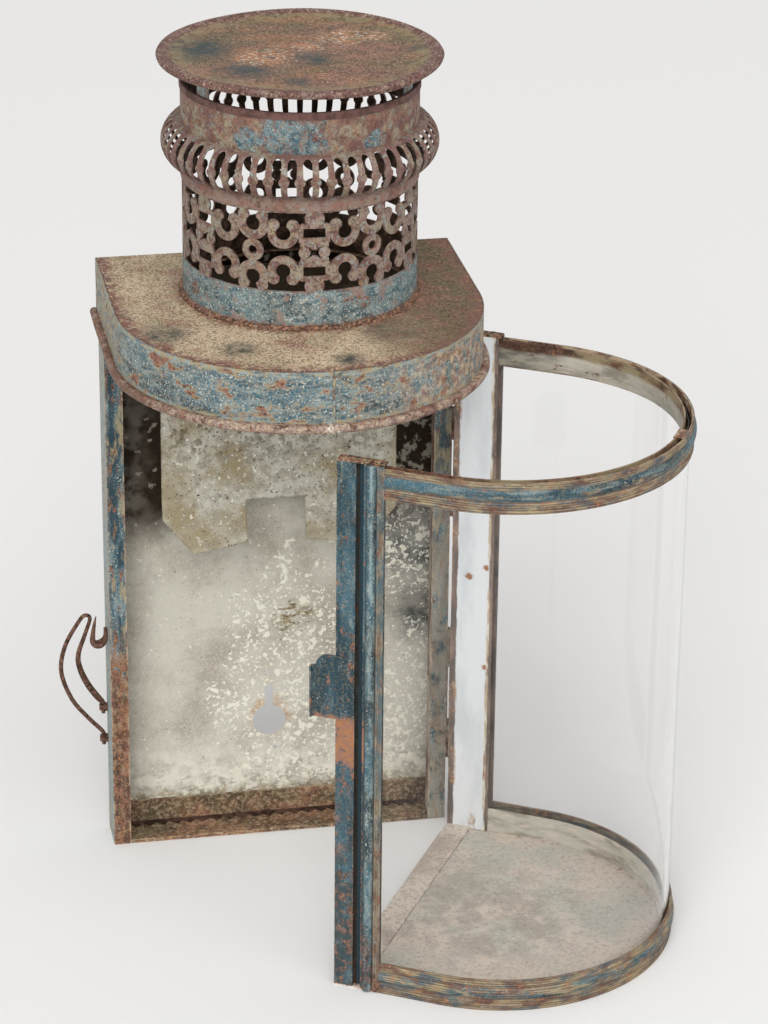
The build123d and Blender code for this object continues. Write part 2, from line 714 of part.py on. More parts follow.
# Thumb tab: a flat plate on the latch stile, with its free edge curled outwards
with BuildPart() as pull_tab:
    tab_end = door_back + TAB_REACH
    tab_start = door_back - STILE_STRIP
    with BuildSketch(side_plane(door_plane, -half_door)) as tab_outline:
        with BuildLine():
            Polyline(
                (tab_start, TAB_Z + TAB_CHAMFER),
                (tab_start, TAB_Z + TAB_HEIGHT),
                (tab_end - TAB_CORNER, TAB_Z + TAB_HEIGHT),
            )
            RadiusArc(
                (tab_end - TAB_CORNER, TAB_Z + TAB_HEIGHT),
                (tab_end, TAB_Z + TAB_HEIGHT - TAB_CORNER),
                TAB_CORNER,
            )
            Polyline(
                (tab_end, TAB_Z + TAB_HEIGHT - TAB_CORNER),
                (tab_end, TAB_Z),
                (tab_start + TAB_CHAMFER, TAB_Z),
                (tab_start, TAB_Z + TAB_CHAMFER),
            )
        make_face()
        with Locations((tab_start + TAB_HOLE_FROM_END, TAB_Z + TAB_HOLE_FROM_BOTTOM)):
            Circle(TAB_HOLE_RADIUS, mode=Mode.SUBTRACT)
    extrude(amount=-SHEET)
    with BuildSketch(door_plane.offset(TAB_Z)) as curl_section:
        with BuildLine():
            RadiusArc((-half_door, tab_end), (-half_door - TAB_CURL, tab_end + TAB_CURL), -TAB_CURL)
            curl_tip = (-half_door - TAB_CURL, tab_end + TAB_CURL)
            Line(curl_tip, (curl_tip[0], curl_tip[1] - SHEET))
            RadiusArc(
                (-half_door - TAB_CURL, tab_end + TAB_CURL - SHEET),
                (-half_door - SHEET, tab_end),
                TAB_CURL - SHEET,
            )
            Line((-half_door - SHEET, tab_end), (-half_door, tab_end))
        make_face()
    extrude(amount=TAB_HEIGHT - TAB_CORNER)
finish(pull_tab, "pull_tab")


def knuckle(base, low, high, strap_low, strap_high):
    """Rolled barrel round the hinge pin, with the strap that joins it to its leaf."""
    with BuildSketch(base.offset(low)) as barrel:
        with Locations((hinge_x, hinge_y)):
            Circle(KNUCKLE_RADIUS)
        with Locations(((strap_low[0] + strap_high[0]) / 2, (strap_low[1] + strap_high[1]) / 2)):
            Rectangle(strap_high[0] - strap_low[0], strap_high[1] - strap_low[1])
        with Locations((hinge_x, hinge_y)):
            Circle(PIN_RADIUS + PIN_CLEARANCE, mode=Mode.SUBTRACT)
    extrude(barrel.sketch, amount=high - low)


# Hinges: two knuckles on the case with one on the door between them, on a headed pin
for place, (low, length) in HINGES.items():
    high = low + length
    lower_joint = low + CASE_KNUCKLE_SHARE * length
    upper_joint = high - CASE_KNUCKLE_SHARE * length
    with BuildPart() as case_leaf:
        leaf_edge = hinge_y + LEAF_STANDOFF
        box_between((half_case, leaf_edge, low), (half_case + LEAF, leaf_edge + LEAF_WIDTH, high))
        strap_low = (half_case, hinge_y + PIN_RADIUS + PIN_CLEARANCE)
        strap_high = (hinge_x, hinge_y + KNUCKLE_RADIUS)
        for start, end in ((low, lower_joint), (upper_joint, high)):
            knuckle(case_plane, start, end, strap_low, strap_high)
            box_between((half_case, strap_low[1], start), (half_case + LEAF, leaf_edge, end))
    finish(case_leaf, place + "_hinge_case_leaf")
    with BuildPart() as door_leaf:
        with BuildSketch(door_plane.offset(low)) as leaf_plate:
            with Locations((half_door + LEAF / 2, hinge_y - LEAF_STANDOFF - LEAF_WIDTH / 2)):
                Rectangle(LEAF, LEAF_WIDTH)
        extrude(amount=length)
        strap_low = (half_door, hinge_y - LEAF_STANDOFF)
        strap_high = (half_door + LEAF, hinge_y)
        knuckle(door_plane, lower_joint + KNUCKLE_GAP, upper_joint - KNUCKLE_GAP, strap_low, strap_high)
    finish(door_leaf, place + "_hinge_door_leaf")
    with BuildPart() as pin:
        with BuildSketch(Plane.XY.offset(low - PIN_TAIL)) as pin_shank:
            with Locations((hinge_x, hinge_y)):
                Circle(PIN_RADIUS)
        extrude(amount=length + PIN_TAIL)
        with BuildSketch(Plane.XY.offset(high)) as pin_head:
            with Locations((hinge_x, hinge_y)):
                Circle(PIN_HEAD_RADIUS)
        extrude(amount=PIN_HEAD)
    finish(pin, place + "_hinge_pin")

# Hook on the left post
with BuildPart() as side_hook:
    hook_back = CASE_DEPTH - HOOK_FRONT_INSET - HOOK_WIDTH
    with BuildSketch(Plane.XZ.offset(hook_back)) as hook_outline:
        with BuildLine() as hook_line:
            hook_x = -half_case - HOOK_SHEET / 2
            Polyline(
                (hook_x, HOOK_Z),
                (hook_x, HOOK_Z - HOOK_ROOT),
                (hook_x - HOOK_ARM, HOOK_Z - HOOK_ROOT - HOOK_SAG),
                (hook_x - HOOK_ARM + HOOK_LEAN, HOOK_Z - HOOK_ROOT - HOOK_SAG + HOOK_PRONG),
            )
        trace(hook_line.line, HOOK_SHEET)
    extrude(amount=HOOK_WIDTH)
finish(side_hook, "side_hook")

# Eyes on the left post and the wire loop that swings in them
with BuildPart() as loop_eyes:
    for level in EYE_LEVELS:
        with BuildSketch(Plane.XY.offset(level)) as eye:
            with Locations((eye_x, eye_y)):
                Circle(EYE_RADIUS)
            with Locations((eye_x + EYE_RADIUS / 2, eye_y)):
                Rectangle(EYE_RADIUS, 2 * EYE_RADIUS)
            with Locations((eye_x, eye_y)):
                Circle(WIRE_RADIUS + PIN_CLEARANCE, mode=Mode.SUBTRACT)
        extrude(amount=EYE_HEIGHT)
finish(loop_eyes, "loop_eyes")

# The loop's line is drawn flat, with x outwards from the eyes and y upwards
low_eye, high_eye = EYE_LEVELS
with BuildLine() as loop_line:
    tip_chord = (Vector(LOOP_INNER_TIP) - Vector(LOOP_OUTER_TIP)).normalized()
    tip_rise = Vector(LOOP_TIP_LEAN).normalized()
    tip_fall = tip_chord * (2 * tip_chord.dot(tip_rise)) - tip_rise
    low_rise = (0, low_eye + EYE_HEIGHT + LOOP_RISE)
    high_rise = (0, high_eye + EYE_HEIGHT + LOOP_RISE)
    Line((0, low_eye - LOOP_TAIL), low_rise)
    Spline(low_rise, LOOP_OUTER_LEG, LOOP_OUTER_BOW, LOOP_OUTER_TIP, tangents=[(0, 1), tip_rise])
    TangentArc(LOOP_OUTER_TIP, LOOP_INNER_TIP, tangent=tip_rise)
    Spline(LOOP_INNER_TIP, LOOP_INNER_BOW, LOOP_INNER_LEG, high_rise, tangents=[tip_fall, (0, -1)])
    Line(high_rise, (0, high_eye - LOOP_TAIL))
loop_plane = Plane(origin=(eye_x, eye_y, 0), x_dir=(-1, 0, 0), z_dir=(0, 1, 0))
loop_path = loop_line.line.moved(loop_plane.location)

with BuildPart() as wire_loop:
    with BuildSketch(Plane(origin=loop_path @ 0, z_dir=loop_path % 0)):
        Circle(WIRE_RADIUS)
    sweep(path=loop_path)
finish(wire_loop, "wire_loop")
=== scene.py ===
"""Looks of a punched tin wall lantern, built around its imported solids."""

import json
import math
from statistics import NormalDist

import bmesh
import bpy
from bpy.props import FloatProperty, FloatVectorProperty, PointerProperty
from mathutils import Matrix, Vector, noise
from mathutils.geometry import interpolate_bezier


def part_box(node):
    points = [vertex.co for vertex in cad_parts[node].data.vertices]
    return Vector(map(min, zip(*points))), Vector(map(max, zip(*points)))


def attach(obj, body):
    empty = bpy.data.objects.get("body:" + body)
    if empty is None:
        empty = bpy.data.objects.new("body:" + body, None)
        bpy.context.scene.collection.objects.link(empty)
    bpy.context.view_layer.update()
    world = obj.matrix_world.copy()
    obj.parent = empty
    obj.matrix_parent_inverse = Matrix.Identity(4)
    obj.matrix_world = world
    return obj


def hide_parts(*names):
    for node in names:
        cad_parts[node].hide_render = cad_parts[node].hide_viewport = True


bl_info = {
    "name": "Punched Tin Lantern",
    "version": (1, 0, 0),
    "blender": (4, 5, 0),
    "location": "View3D > Sidebar > Lantern",
    "description": "Dresses a tin wall lantern with worn paint, rust, old glass and a studio",
    "category": "Object",
}

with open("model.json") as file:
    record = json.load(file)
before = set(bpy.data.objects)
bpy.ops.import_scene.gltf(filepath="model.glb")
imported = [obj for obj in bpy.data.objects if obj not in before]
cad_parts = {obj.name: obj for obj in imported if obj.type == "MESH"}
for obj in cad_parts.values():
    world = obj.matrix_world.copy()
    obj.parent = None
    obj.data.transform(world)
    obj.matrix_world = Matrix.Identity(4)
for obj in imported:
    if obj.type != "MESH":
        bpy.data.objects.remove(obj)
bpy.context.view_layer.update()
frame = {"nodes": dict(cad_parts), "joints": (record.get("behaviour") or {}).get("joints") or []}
MM = 0.001


def corners(node):
    """Lowest and highest corner of a CAD node, in millimetres."""
    return [Vector(corner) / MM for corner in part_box(node)]


def joint(name):
    """Level place of a joint in millimetres, and its lowest angle."""
    made = next(j for j in frame["joints"] if j["name"] == name)
    return (Vector(made["pos_m"]) / MM).xy, made["range_deg"][0]


# Places that several pieces share, in millimetres
BOW_CENTRE = (0.0, -77.5)
CHIMNEY_AXIS = (sum(corners("chimney_drum"), Vector()) / 2).xy
HINGE, SHUT_ANGLE = joint("door_hinge")
DOOR_TURN = -SHUT_ANGLE
ROOF_TOP = corners("roof_plate")[1].z
BACK_FACE = corners("back_panel")[0].y

# How far a cloudy pattern strays from its middle, the sheen and relief of all
# finishes, and the angle in degrees from which an edge is shaded as sharp
SPREAD = 0.085
DULL = 0.2
RELIEF = 0.35
SHARP_EDGE = 40.0

# The seed of all unevenness, so that it is the same every time
SEED = 11
noise.seed_set(SEED)


def metres(place):
    return Vector(place) * MM


def swing(pivot, degrees):
    """Turn about an upright line."""
    middle = Matrix.Translation(metres((*pivot, 0.0)))
    return middle @ Matrix.Rotation(math.radians(degrees), 4, "Z") @ middle.inverted()


DOOR_PLACE = swing(HINGE, DOOR_TURN)


def tint(red, green, blue):
    """Linear colour from the eye's 0 to 255 values."""
    return tuple(
        c / 255 / 12.92 if c / 255 <= 0.04045 else ((c / 255 + 0.055) / 1.055) ** 2.4
        for c in (red, green, blue)
    )


def colour_property(label, use, shade):
    return FloatVectorProperty(
        name=label, description=use, subtype="COLOR", size=3, min=0.0, max=1.0, default=tint(*shade)
    )


def length_property(label, use, millimetres):
    size = millimetres * MM
    return FloatProperty(
        name=label, description=use, subtype="DISTANCE", unit="LENGTH", precision=5, default=size
    )


class LanternColours(bpy.types.PropertyGroup):
    """Colours of the lantern's worn finishes."""

    tan: colour_property("Tan", "Dusty patina of the roof", (202, 180, 150))
    ochre: colour_property("Ochre", "Yellowish patina round paint and rust", (166, 152, 120))
    olive: colour_property("Olive", "Dark grains and clouds of the patina", (104, 92, 68))
    # Grey stains, and also painted shade on the upper liner, the hinge stile's web and the back panel's
    # right side
    smudge_and_shade: colour_property("Smudge", "Grey stains on roof and cap", (72, 74, 68))
    rust: colour_property("Rust", "Brown rust", (112, 84, 72))
    russet: colour_property("Russet", "Pinkish rust", (148, 108, 92))
    orange: colour_property("Orange rust", "Fresh rust", (164, 116, 82))
    umber: colour_property("Umber", "Rust pits", (56, 41, 32))
    plum: colour_property("Plum", "Purple-brown rust of rolled edges", (116, 84, 78))
    mauve: colour_property("Mauve", "Grey-pink patina of the chimney", (150, 128, 118))
    ash: colour_property("Ash", "Greyer patina of the chimney", (150, 138, 120))
    blue: colour_property("Blue paint", "Old blue paint", (66, 102, 116))
    deep_blue: colour_property("Deep blue", "Blue paint where it is dark", (38, 62, 72))
    pale_blue: colour_property("Pale blue", "Chalky blue paint", (144, 162, 162))
    bare: colour_property("Bare tin", "Dull grey inner tin", (206, 203, 190))
    pewter: colour_property("Pewter", "Darker clouds of inner tin", (162, 155, 140))
    cream: colour_property("Cream", "Bright flecks of old tinning and paint", (236, 233, 218))
    white: colour_property("White paint", "Paint inside the hinge stile", (236, 239, 241))
    taupe: colour_property("Taupe", "Dust on the door's floor", (226, 213, 199))
    # Soot, and also painted shade: under the roof and the cap's rim, inside skirt and chimney, high on
    # the back panel and reflector, in the stiles' groove
    soot_and_shade: colour_property("Soot", "Smoke stains inside", (46, 35, 20))
    iron: colour_property("Iron", "Wire loop and hook", (88, 62, 50))
    glass: colour_property("Glass", "Clear old glass", (255, 255, 255))


class LanternSizes(bpy.types.PropertyGroup):
    """Sizes of the pieces that are shaped by hand."""

    cap_warp: length_property("Cap warp", "How far the cap is out of flat", 0.8)
    rim_wave: length_property("Rim wave", "How far the roof's rolled rim is out of true", 0.45)
    solder_lumps: length_property("Solder lumps", "Unevenness of the drum's soldered foot", 0.5)
    pane_thickness: length_property("Pane", "Thickness of the bent pane", 2.2)
    pane_wave: length_property("Pane wave", "Waves of the old glass", 0.12)
    plate_thickness: length_property("Plate", "Thickness of the reflector", 0.8)
    lap_width: length_property("Lap", "Width of the skirt's soldered lap", 1.1)


class LanternStage(bpy.types.PropertyGroup):
    """Studio around the lantern."""

    cloth: colour_property("Cloth", "Pale floor", (236, 235, 234))
    key: FloatProperty(name="Key", description="Strength of the main soft light", default=1.6)
    fill: FloatProperty(name="Fill", description="Power of the soft panel above the front", default=6.0)
    sky: FloatProperty(name="Sky", description="Strength of the even light", default=0.62)


class Finish:
    """A material in the making: a surface shader and short calls for its pattern nodes."""

    def __init__(self, name):
        self.material = bpy.data.materials.new(name)
        self.material.use_nodes = True
        self.tree = self.material.node_tree
        self.shader = self.tree.nodes["Principled BSDF"]
        place = self.node("ShaderNodeTexCoord")
        self.coords = place.outputs["Object"]
        self.normal = place.outputs["Normal"]
        self.colour = None

    def node(self, kind, **settings):
        made = self.tree.nodes.new(kind)
        for key, value in settings.items():
            setattr(made, key, value)
        return made

    def feed(self, socket, value):
        if isinstance(value, bpy.types.NodeSocket):
            self.tree.links.new(value, socket)
        elif socket.type == "RGBA":
            socket.default_value = (*value, 1.0)
        else:
            socket.default_value = value

    def calc(self, operation, *values):
        maths = self.node("ShaderNodeMath", operation=operation)
        for socket, value in zip(maths.inputs, values):
            self.feed(socket, value)
        return maths.outputs["Value"]

    def vector(self, operation, first, second, output="Value"):
        maths = self.node("ShaderNodeVectorMath", operation=operation)
        self.feed(maths.inputs[0], first)
        self.feed(maths.inputs[1], second)
        return maths.outputs[output]

    def both(self, *shares):
        """Where all the shares are 1."""
        total = shares[0]
        for share in shares[1:]:
            total = self.calc("MULTIPLY", total, share)
        return total

    def either(self, *shares):
        """Where any of the shares is 1."""
        total = shares[0]
        for share in shares[1:]:
            total = self.calc("MAXIMUM", total, share)
        return total

    def blend(self, share, under, over):
        """Colour under, covered by colour over where share is 1."""
        mix = self.node("ShaderNodeMix", data_type="RGBA")
        for socket, value in zip((mix.inputs[0], mix.inputs[6], mix.inputs[7]), (share, under, over)):
            self.feed(socket, value)
        return mix.outputs[2]

    def step(self, value, low, high):
        """0 at low, 1 at high, smooth between."""
        ramp = self.node("ShaderNodeMapRange", interpolation_type="SMOOTHSTEP")
        ends = (0.0, 1.0) if low < high else (1.0, 0.0)
        for socket, setting in zip(ramp.inputs, (value, min(low, high), max(low, high), *ends)):
            self.feed(socket, setting)
        return ramp.outputs["Result"]

    def past(self, value, low, high):
        """A step whose bounds are millimetres."""
        return self.step(value, low * MM, high * MM)

    def between(self, value, low, high, soft):
        """1 between two places in millimetres, with soft edges."""
        above = self.past(value, low - soft, low + soft)
        return self.both(above, self.past(value, high + soft, high - soft))

    def axis(self, letter, coords=None):
        split = self.node("ShaderNodeSeparateXYZ")
        self.feed(split.inputs["Vector"], coords or self.coords)
        return split.outputs[letter]

    def in_door(self):
        """Coordinates of the shut door."""
        move = self.node("ShaderNodeMapping", vector_type="TEXTURE")
        move.inputs["Location"].default_value = DOOR_PLACE.translation
        move.inputs["Rotation"].default_value = (0.0, 0.0, math.radians(DOOR_TURN))
        self.feed(move.inputs["Vector"], self.coords)
        return move.outputs["Vector"]

    def from_line(self, line):
        """Level vector from an upright line."""
        away = self.vector("SUBTRACT", self.coords, metres((*line, 0.0)), "Vector")
        return self.vector("MULTIPLY", away, (1.0, 1.0, 0.0), "Vector")

    def radius(self, line):
        return self.vector("LENGTH", self.from_line(line), (0.0, 0.0, 0.0))

    def inward(self, line):
        """1 on faces that look towards an upright line."""
        outward = self.vector("NORMALIZE", self.from_line(line), (0.0, 0.0, 0.0), "Vector")
        return self.step(self.vector("DOT_PRODUCT", self.normal, outward), -0.15, -0.5)

    def bow_radius(self, coords=None):
        """Distance from the line along the middle of the bow and its straight sides."""
        across = self.axis("X", coords)
        ahead = self.calc("SUBTRACT", self.axis("Y", coords), BOW_CENTRE[1] * MM)
        ahead = self.calc("MINIMUM", ahead, 0.0)
        squares = (self.calc("POWER", value, 2.0) for value in (across, ahead))
        return self.calc("SQRT", self.calc("ADD", *squares))

    def grain(self, size, detail=5.0, rough=0.6, stretch=(1, 1, 1), shift=0.0):
        """Cloudy pattern whose clouds are about size millimetres across."""
        place = self.node("ShaderNodeMapping")
        place.inputs["Scale"].default_value = tuple(1.0 / s for s in stretch)
        place.inputs["Location"].default_value = (shift, shift * 0.7, shift * 1.3)
        self.feed(place.inputs["Vector"], self.coords)
        clouds = self.node("ShaderNodeTexNoise")
        clouds.inputs["Scale"].default_value = 1.0 / (size * MM)
        clouds.inputs["Detail"].default_value = detail
        clouds.inputs["Roughness"].default_value = rough
        self.feed(clouds.inputs["Vector"], place.outputs["Vector"])
        return clouds.outputs["Fac"]

    def over(self, clouds, share, soft):
        """1 on about that share of the surface, where the clouds are thickest."""
        level = 0.5 + SPREAD * NormalDist().inv_cdf(1.0 - share)
        return self.step(clouds, level - soft * SPREAD, level + soft * SPREAD)

    def patch(self, size, share, soft=0.3, strength=1.0, **pattern):
        """Ragged spots of that size in millimetres on about that share of the surface."""
        spots = self.over(self.grain(size, **pattern), share, soft)
        return spots if strength == 1.0 else self.calc("MULTIPLY", spots, strength)

    def dab(self, under, over, *spots, **pattern):
        """Colour under, covered by colour over in ragged spots."""
        return self.blend(self.patch(*spots, **pattern), under, over)

    def lines(self, value, spacing):
        """1 on every other of many narrow lines, spacing millimetres apart."""
        wave = self.calc("SINE", self.calc("MULTIPLY", value, math.tau / (spacing * MM)))
        return self.step(wave, -0.4, 0.6)

    def wobble(self, value, size, reach, shift=0.0):
        """A distance made uneven by up to about reach millimetres."""
        swell = self.calc("MULTIPLY_ADD", self.grain(size, shift=shift), 4 * reach * MM, -2 * reach * MM)
        return self.calc("ADD", value, swell)

    def fading(self, value, low, high, size, reach, shift=0.0):
        """A step whose bounds are millimetres, with an uneven edge."""
        return self.past(self.wobble(value, size, reach, shift), low, high)

    def spot(self, place, radius, coords=None):
        """1 near a place, fading out with a ragged edge at that radius in millimetres."""
        gap = self.vector("DISTANCE", coords or self.coords, metres(place))
        return self.fading(gap, 1.15 * radius, 0.55 * radius, 0.5 * radius, 0.5 * radius)

    def haze(self, place, radius, shift=0.0):
        """A soft cloudy patch round a place, gone at that radius in millimetres."""
        gap = self.vector("DISTANCE", self.coords, metres(place))
        fade = self.fading(gap, radius, 0.1 * radius, 0.6 * radius, 0.25 * radius, shift)
        cloud = self.patch(0.4 * radius, 0.6, 1.4, shift=shift)
        return self.both(fade, self.calc("MULTIPLY_ADD", cloud, 0.55, 0.45))

    def edges(self, width):
        """1 along sharp edges, for about that many millimetres."""
        eased = self.node("ShaderNodeBevel", samples=4)
        eased.inputs["Radius"].default_value = width * MM
        face = self.node("ShaderNodeNewGeometry").outputs["Normal"]
        return self.step(self.vector("DOT_PRODUCT", eased.outputs["Normal"], face), 0.985, 0.90)

    def cover(self, over, *shares):
        """Lay another colour where all the shares are 1."""
        self.colour = self.blend(self.both(*shares), self.colour, over)

    def lay(self, over, *spots, **pattern):
        """Lay another colour in ragged spots."""
        self.colour = self.dab(self.colour, over, *spots, **pattern)

    def wear(self, over, width, share=0.7):
        """Rub or rust the edges in places."""
        self.cover(over, self.edges(width), self.patch(4, share, 0.8))

    def surface(self, smooth, rough, metallic=0.0):
        """Finish the material: its colour, patchy gloss and fine relief."""
        self.feed(self.shader.inputs["Base Color"], self.colour)
        self.shader.inputs["Metallic"].default_value = metallic
        self.shader.inputs["Specular IOR Level"].default_value = DULL
        gloss = self.node("ShaderNodeMapRange")
        for socket, value in zip(gloss.inputs, (self.grain(3, shift=3.1), 0.35, 0.65, smooth, rough)):
            self.feed(socket, value)
        self.feed(self.shader.inputs["Roughness"], gloss.outputs["Result"])
        bump = self.node("ShaderNodeBump")
        bump.inputs["Distance"].default_value = RELIEF * MM
        self.feed(bump.inputs["Height"], self.grain(2.2, 7.0, 0.7, shift=4.3))
        self.feed(self.shader.inputs["Normal"], bump.outputs["Normal"])
        return self.material


def colours():
    return bpy.context.scene.lantern_colours


def sizes():
    return bpy.context.scene.lantern_sizes


def dress(material, *nodes):
    """Give CAD nodes a finish."""
    for name in nodes:
        piece = frame["nodes"][name]
        piece.data.materials.clear()
        piece.data.materials.append(material)


def settle(bm, name, material, body, slot, *replaced):
    """Make a finished shape a piece of the lantern."""
    mesh = bpy.data.meshes.new(name)
    for face in bm.faces:
        face.smooth = True
    bm.to_mesh(mesh)
    bm.free()
    mesh.set_sharp_from_angle(angle=math.radians(SHARP_EDGE))
    mesh.materials.append(material)
    piece = bpy.data.objects.new(name, mesh)
    bpy.context.scene.collection.objects.link(piece)
    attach(piece, body)
    if replaced:
        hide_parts(*replaced)
    return piece


def parts_of(geometry, kind):
    return [g for g in geometry if isinstance(g, kind)]


def tidy_shell(bm):
    """Merge doubled vertices and turn every face outwards."""
    bmesh.ops.remove_doubles(bm, verts=bm.verts, dist=1e-6)
    bmesh.ops.recalc_face_normals(bm, faces=bm.faces)


def turn_on_axis(bm, profile, line, steps):
    """Spin a profile of radius and height, in millimetres, about an upright line."""
    verts = [bm.verts.new(metres((line[0] + radius, line[1], height))) for radius, height in profile]
    edges = [bm.edges.new(pair) for pair in zip(verts, verts[1:])]
    centre = metres((*line, 0.0))
    bmesh.ops.spin(
        bm, geom=verts + edges, cent=centre, axis=(0, 0, 1), angle=math.tau, steps=steps, use_merge=True
    )
    tidy_shell(bm)


def uprights(bm):
    """Edges that run up or down."""
    return [e for e in bm.edges if abs(e.verts[0].co.z - e.verts[1].co.z) > MM]


def grow(bm, edges):
    """Extrude edges on the spot and return the new vertices and edges."""
    grown = bmesh.ops.extrude_edge_only(bm, edges=edges)["geom"]
    verts = parts_of(grown, bmesh.types.BMVert)
    return verts, [e for e in parts_of(grown, bmesh.types.BMEdge) if all(v in verts for v in e.verts)]


def run(bm, edges, move, count):
    """Extrude edges in equal steps and return the last ones."""
    for _ in range(count):
        verts, edges = grow(bm, edges)
        bmesh.ops.translate(bm, verts=verts, vec=move / count)
    return edges


def smooth_line(places, steps):
    """Points along a smooth curve through the given places."""
    points = [Vector(place) for place in places]
    ends = [points[0], *points, points[-1]]
    line = points[:1]
    for before, start, end, after in zip(ends, ends[1:], ends[2:], ends[3:]):
        first, second = start + (end - before) / 6, end - (after - start) / 6
        line += interpolate_bezier(start, first, second, end, steps + 1)[1:]
    return line


def sweep_bow(bm, edges, leg, leg_steps, bow_steps):
    """Run a section from the right side's end round the bow to the left side's end."""
    edges = run(bm, edges, Vector((0.0, -leg, 0.0)), leg_steps)
    verts = list(dict.fromkeys(v for e in edges for v in e.verts))
    centre = metres((*BOW_CENTRE, 0.0))
    turned = bmesh.ops.spin(
        bm, geom=verts + edges, cent=centre, axis=(0, 0, 1), angle=-math.pi, steps=bow_steps
    )
    run(bm, parts_of(turned["geom_last"], bmesh.types.BMEdge), Vector((0.0, leg, 0.0)), leg_steps)


def unevenness(place, size):
    """Smooth vector between -1 and 1 that changes over about size millimetres."""
    return noise.noise_vector(place / (size * MM))


def rust_colour(f, shift=0.0):
    """Brown rust with pinkish clouds, orange grains and dark pits."""
    c = colours()
    colour = f.dab(c.rust, c.russet, 6, 0.42, 0.9, shift=shift)
    colour = f.dab(colour, c.orange, 1.6, 0.2, 0.6, shift=shift + 0.4)
    return f.dab(colour, c.umber, 1.1, 0.2, 0.6, shift=shift + 0.9)


def paint_colour(f, chalk, flecks, shift=0.0, stretch=(1, 1, 1)):
    """Old blue paint: darker clouds, chalky rubs and fine pale flecks."""
    c = colours()
    colour = f.dab(c.blue, c.deep_blue, 20, 0.38, 1.0, shift=shift, stretch=stretch)
    colour = f.dab(colour, c.pale_blue, 4, chalk, 1.2, 0.6, shift=shift + 0.3, stretch=stretch)
    colour = f.dab(colour, c.ochre, 1.2, 0.3, 1.0, 0.3, shift=shift + 1.9)
    colour = f.dab(colour, c.umber, 1.0, 0.14, 0.8, 0.5, shift=shift + 1.3)
    return f.dab(colour, c.cream, 1.0, flecks, 0.7, 0.75, shift=shift + 0.7)


def patina_colour(f, light, dark, shift):
    """Dusty brown tin: broad clouds with fine light and dark grains."""
    c = colours()
    colour = f.dab(light, dark, 22, 0.45, 1.3, shift=shift)
    colour = f.dab(colour, c.ochre, 1.5, 0.3, 0.8, 0.55, shift=shift + 0.2)
    colour = f.dab(colour, c.rust, 3.0, 0.2, 0.8, 0.6, shift=shift + 0.5)
    return f.dab(colour, c.umber, 0.9, 0.2, 0.7, 0.6, shift=shift + 0.8)


# Places of stains and chips, with their reach in millimetres
ROOF_STAINS = (((-69, -109), 18), ((-37, -131), 14), ((36, -120), 22), ((11, -152), 12), ((66, -84), 18))
RIM_CHIPS = (((0.4, -168, 288), 4), ((26, -164, 288), 2), ((-72, -130, 288), 2))
LAP_PLACE = (1.3, -165.5)
LAP_ROWS = 12
# Where a finish begins and where it is full, in millimetres
ROOF_BROWN = (12, 64)
ROOF_EDGE = (79, 86)
ROOF_RING = (64, 57)
ROOF_UNDERSIDE = (315.5, 315.3)
SKIRT_PINK = (14, 62)
SKIRT_SIDES = (-104, -52)
SKIRT_TOP_HEM = (312.6, 314.6)
SKIRT_LOW_HEM = (292.6, 291.0)
SKIRT_INSIDE = (87.75, 87.5)


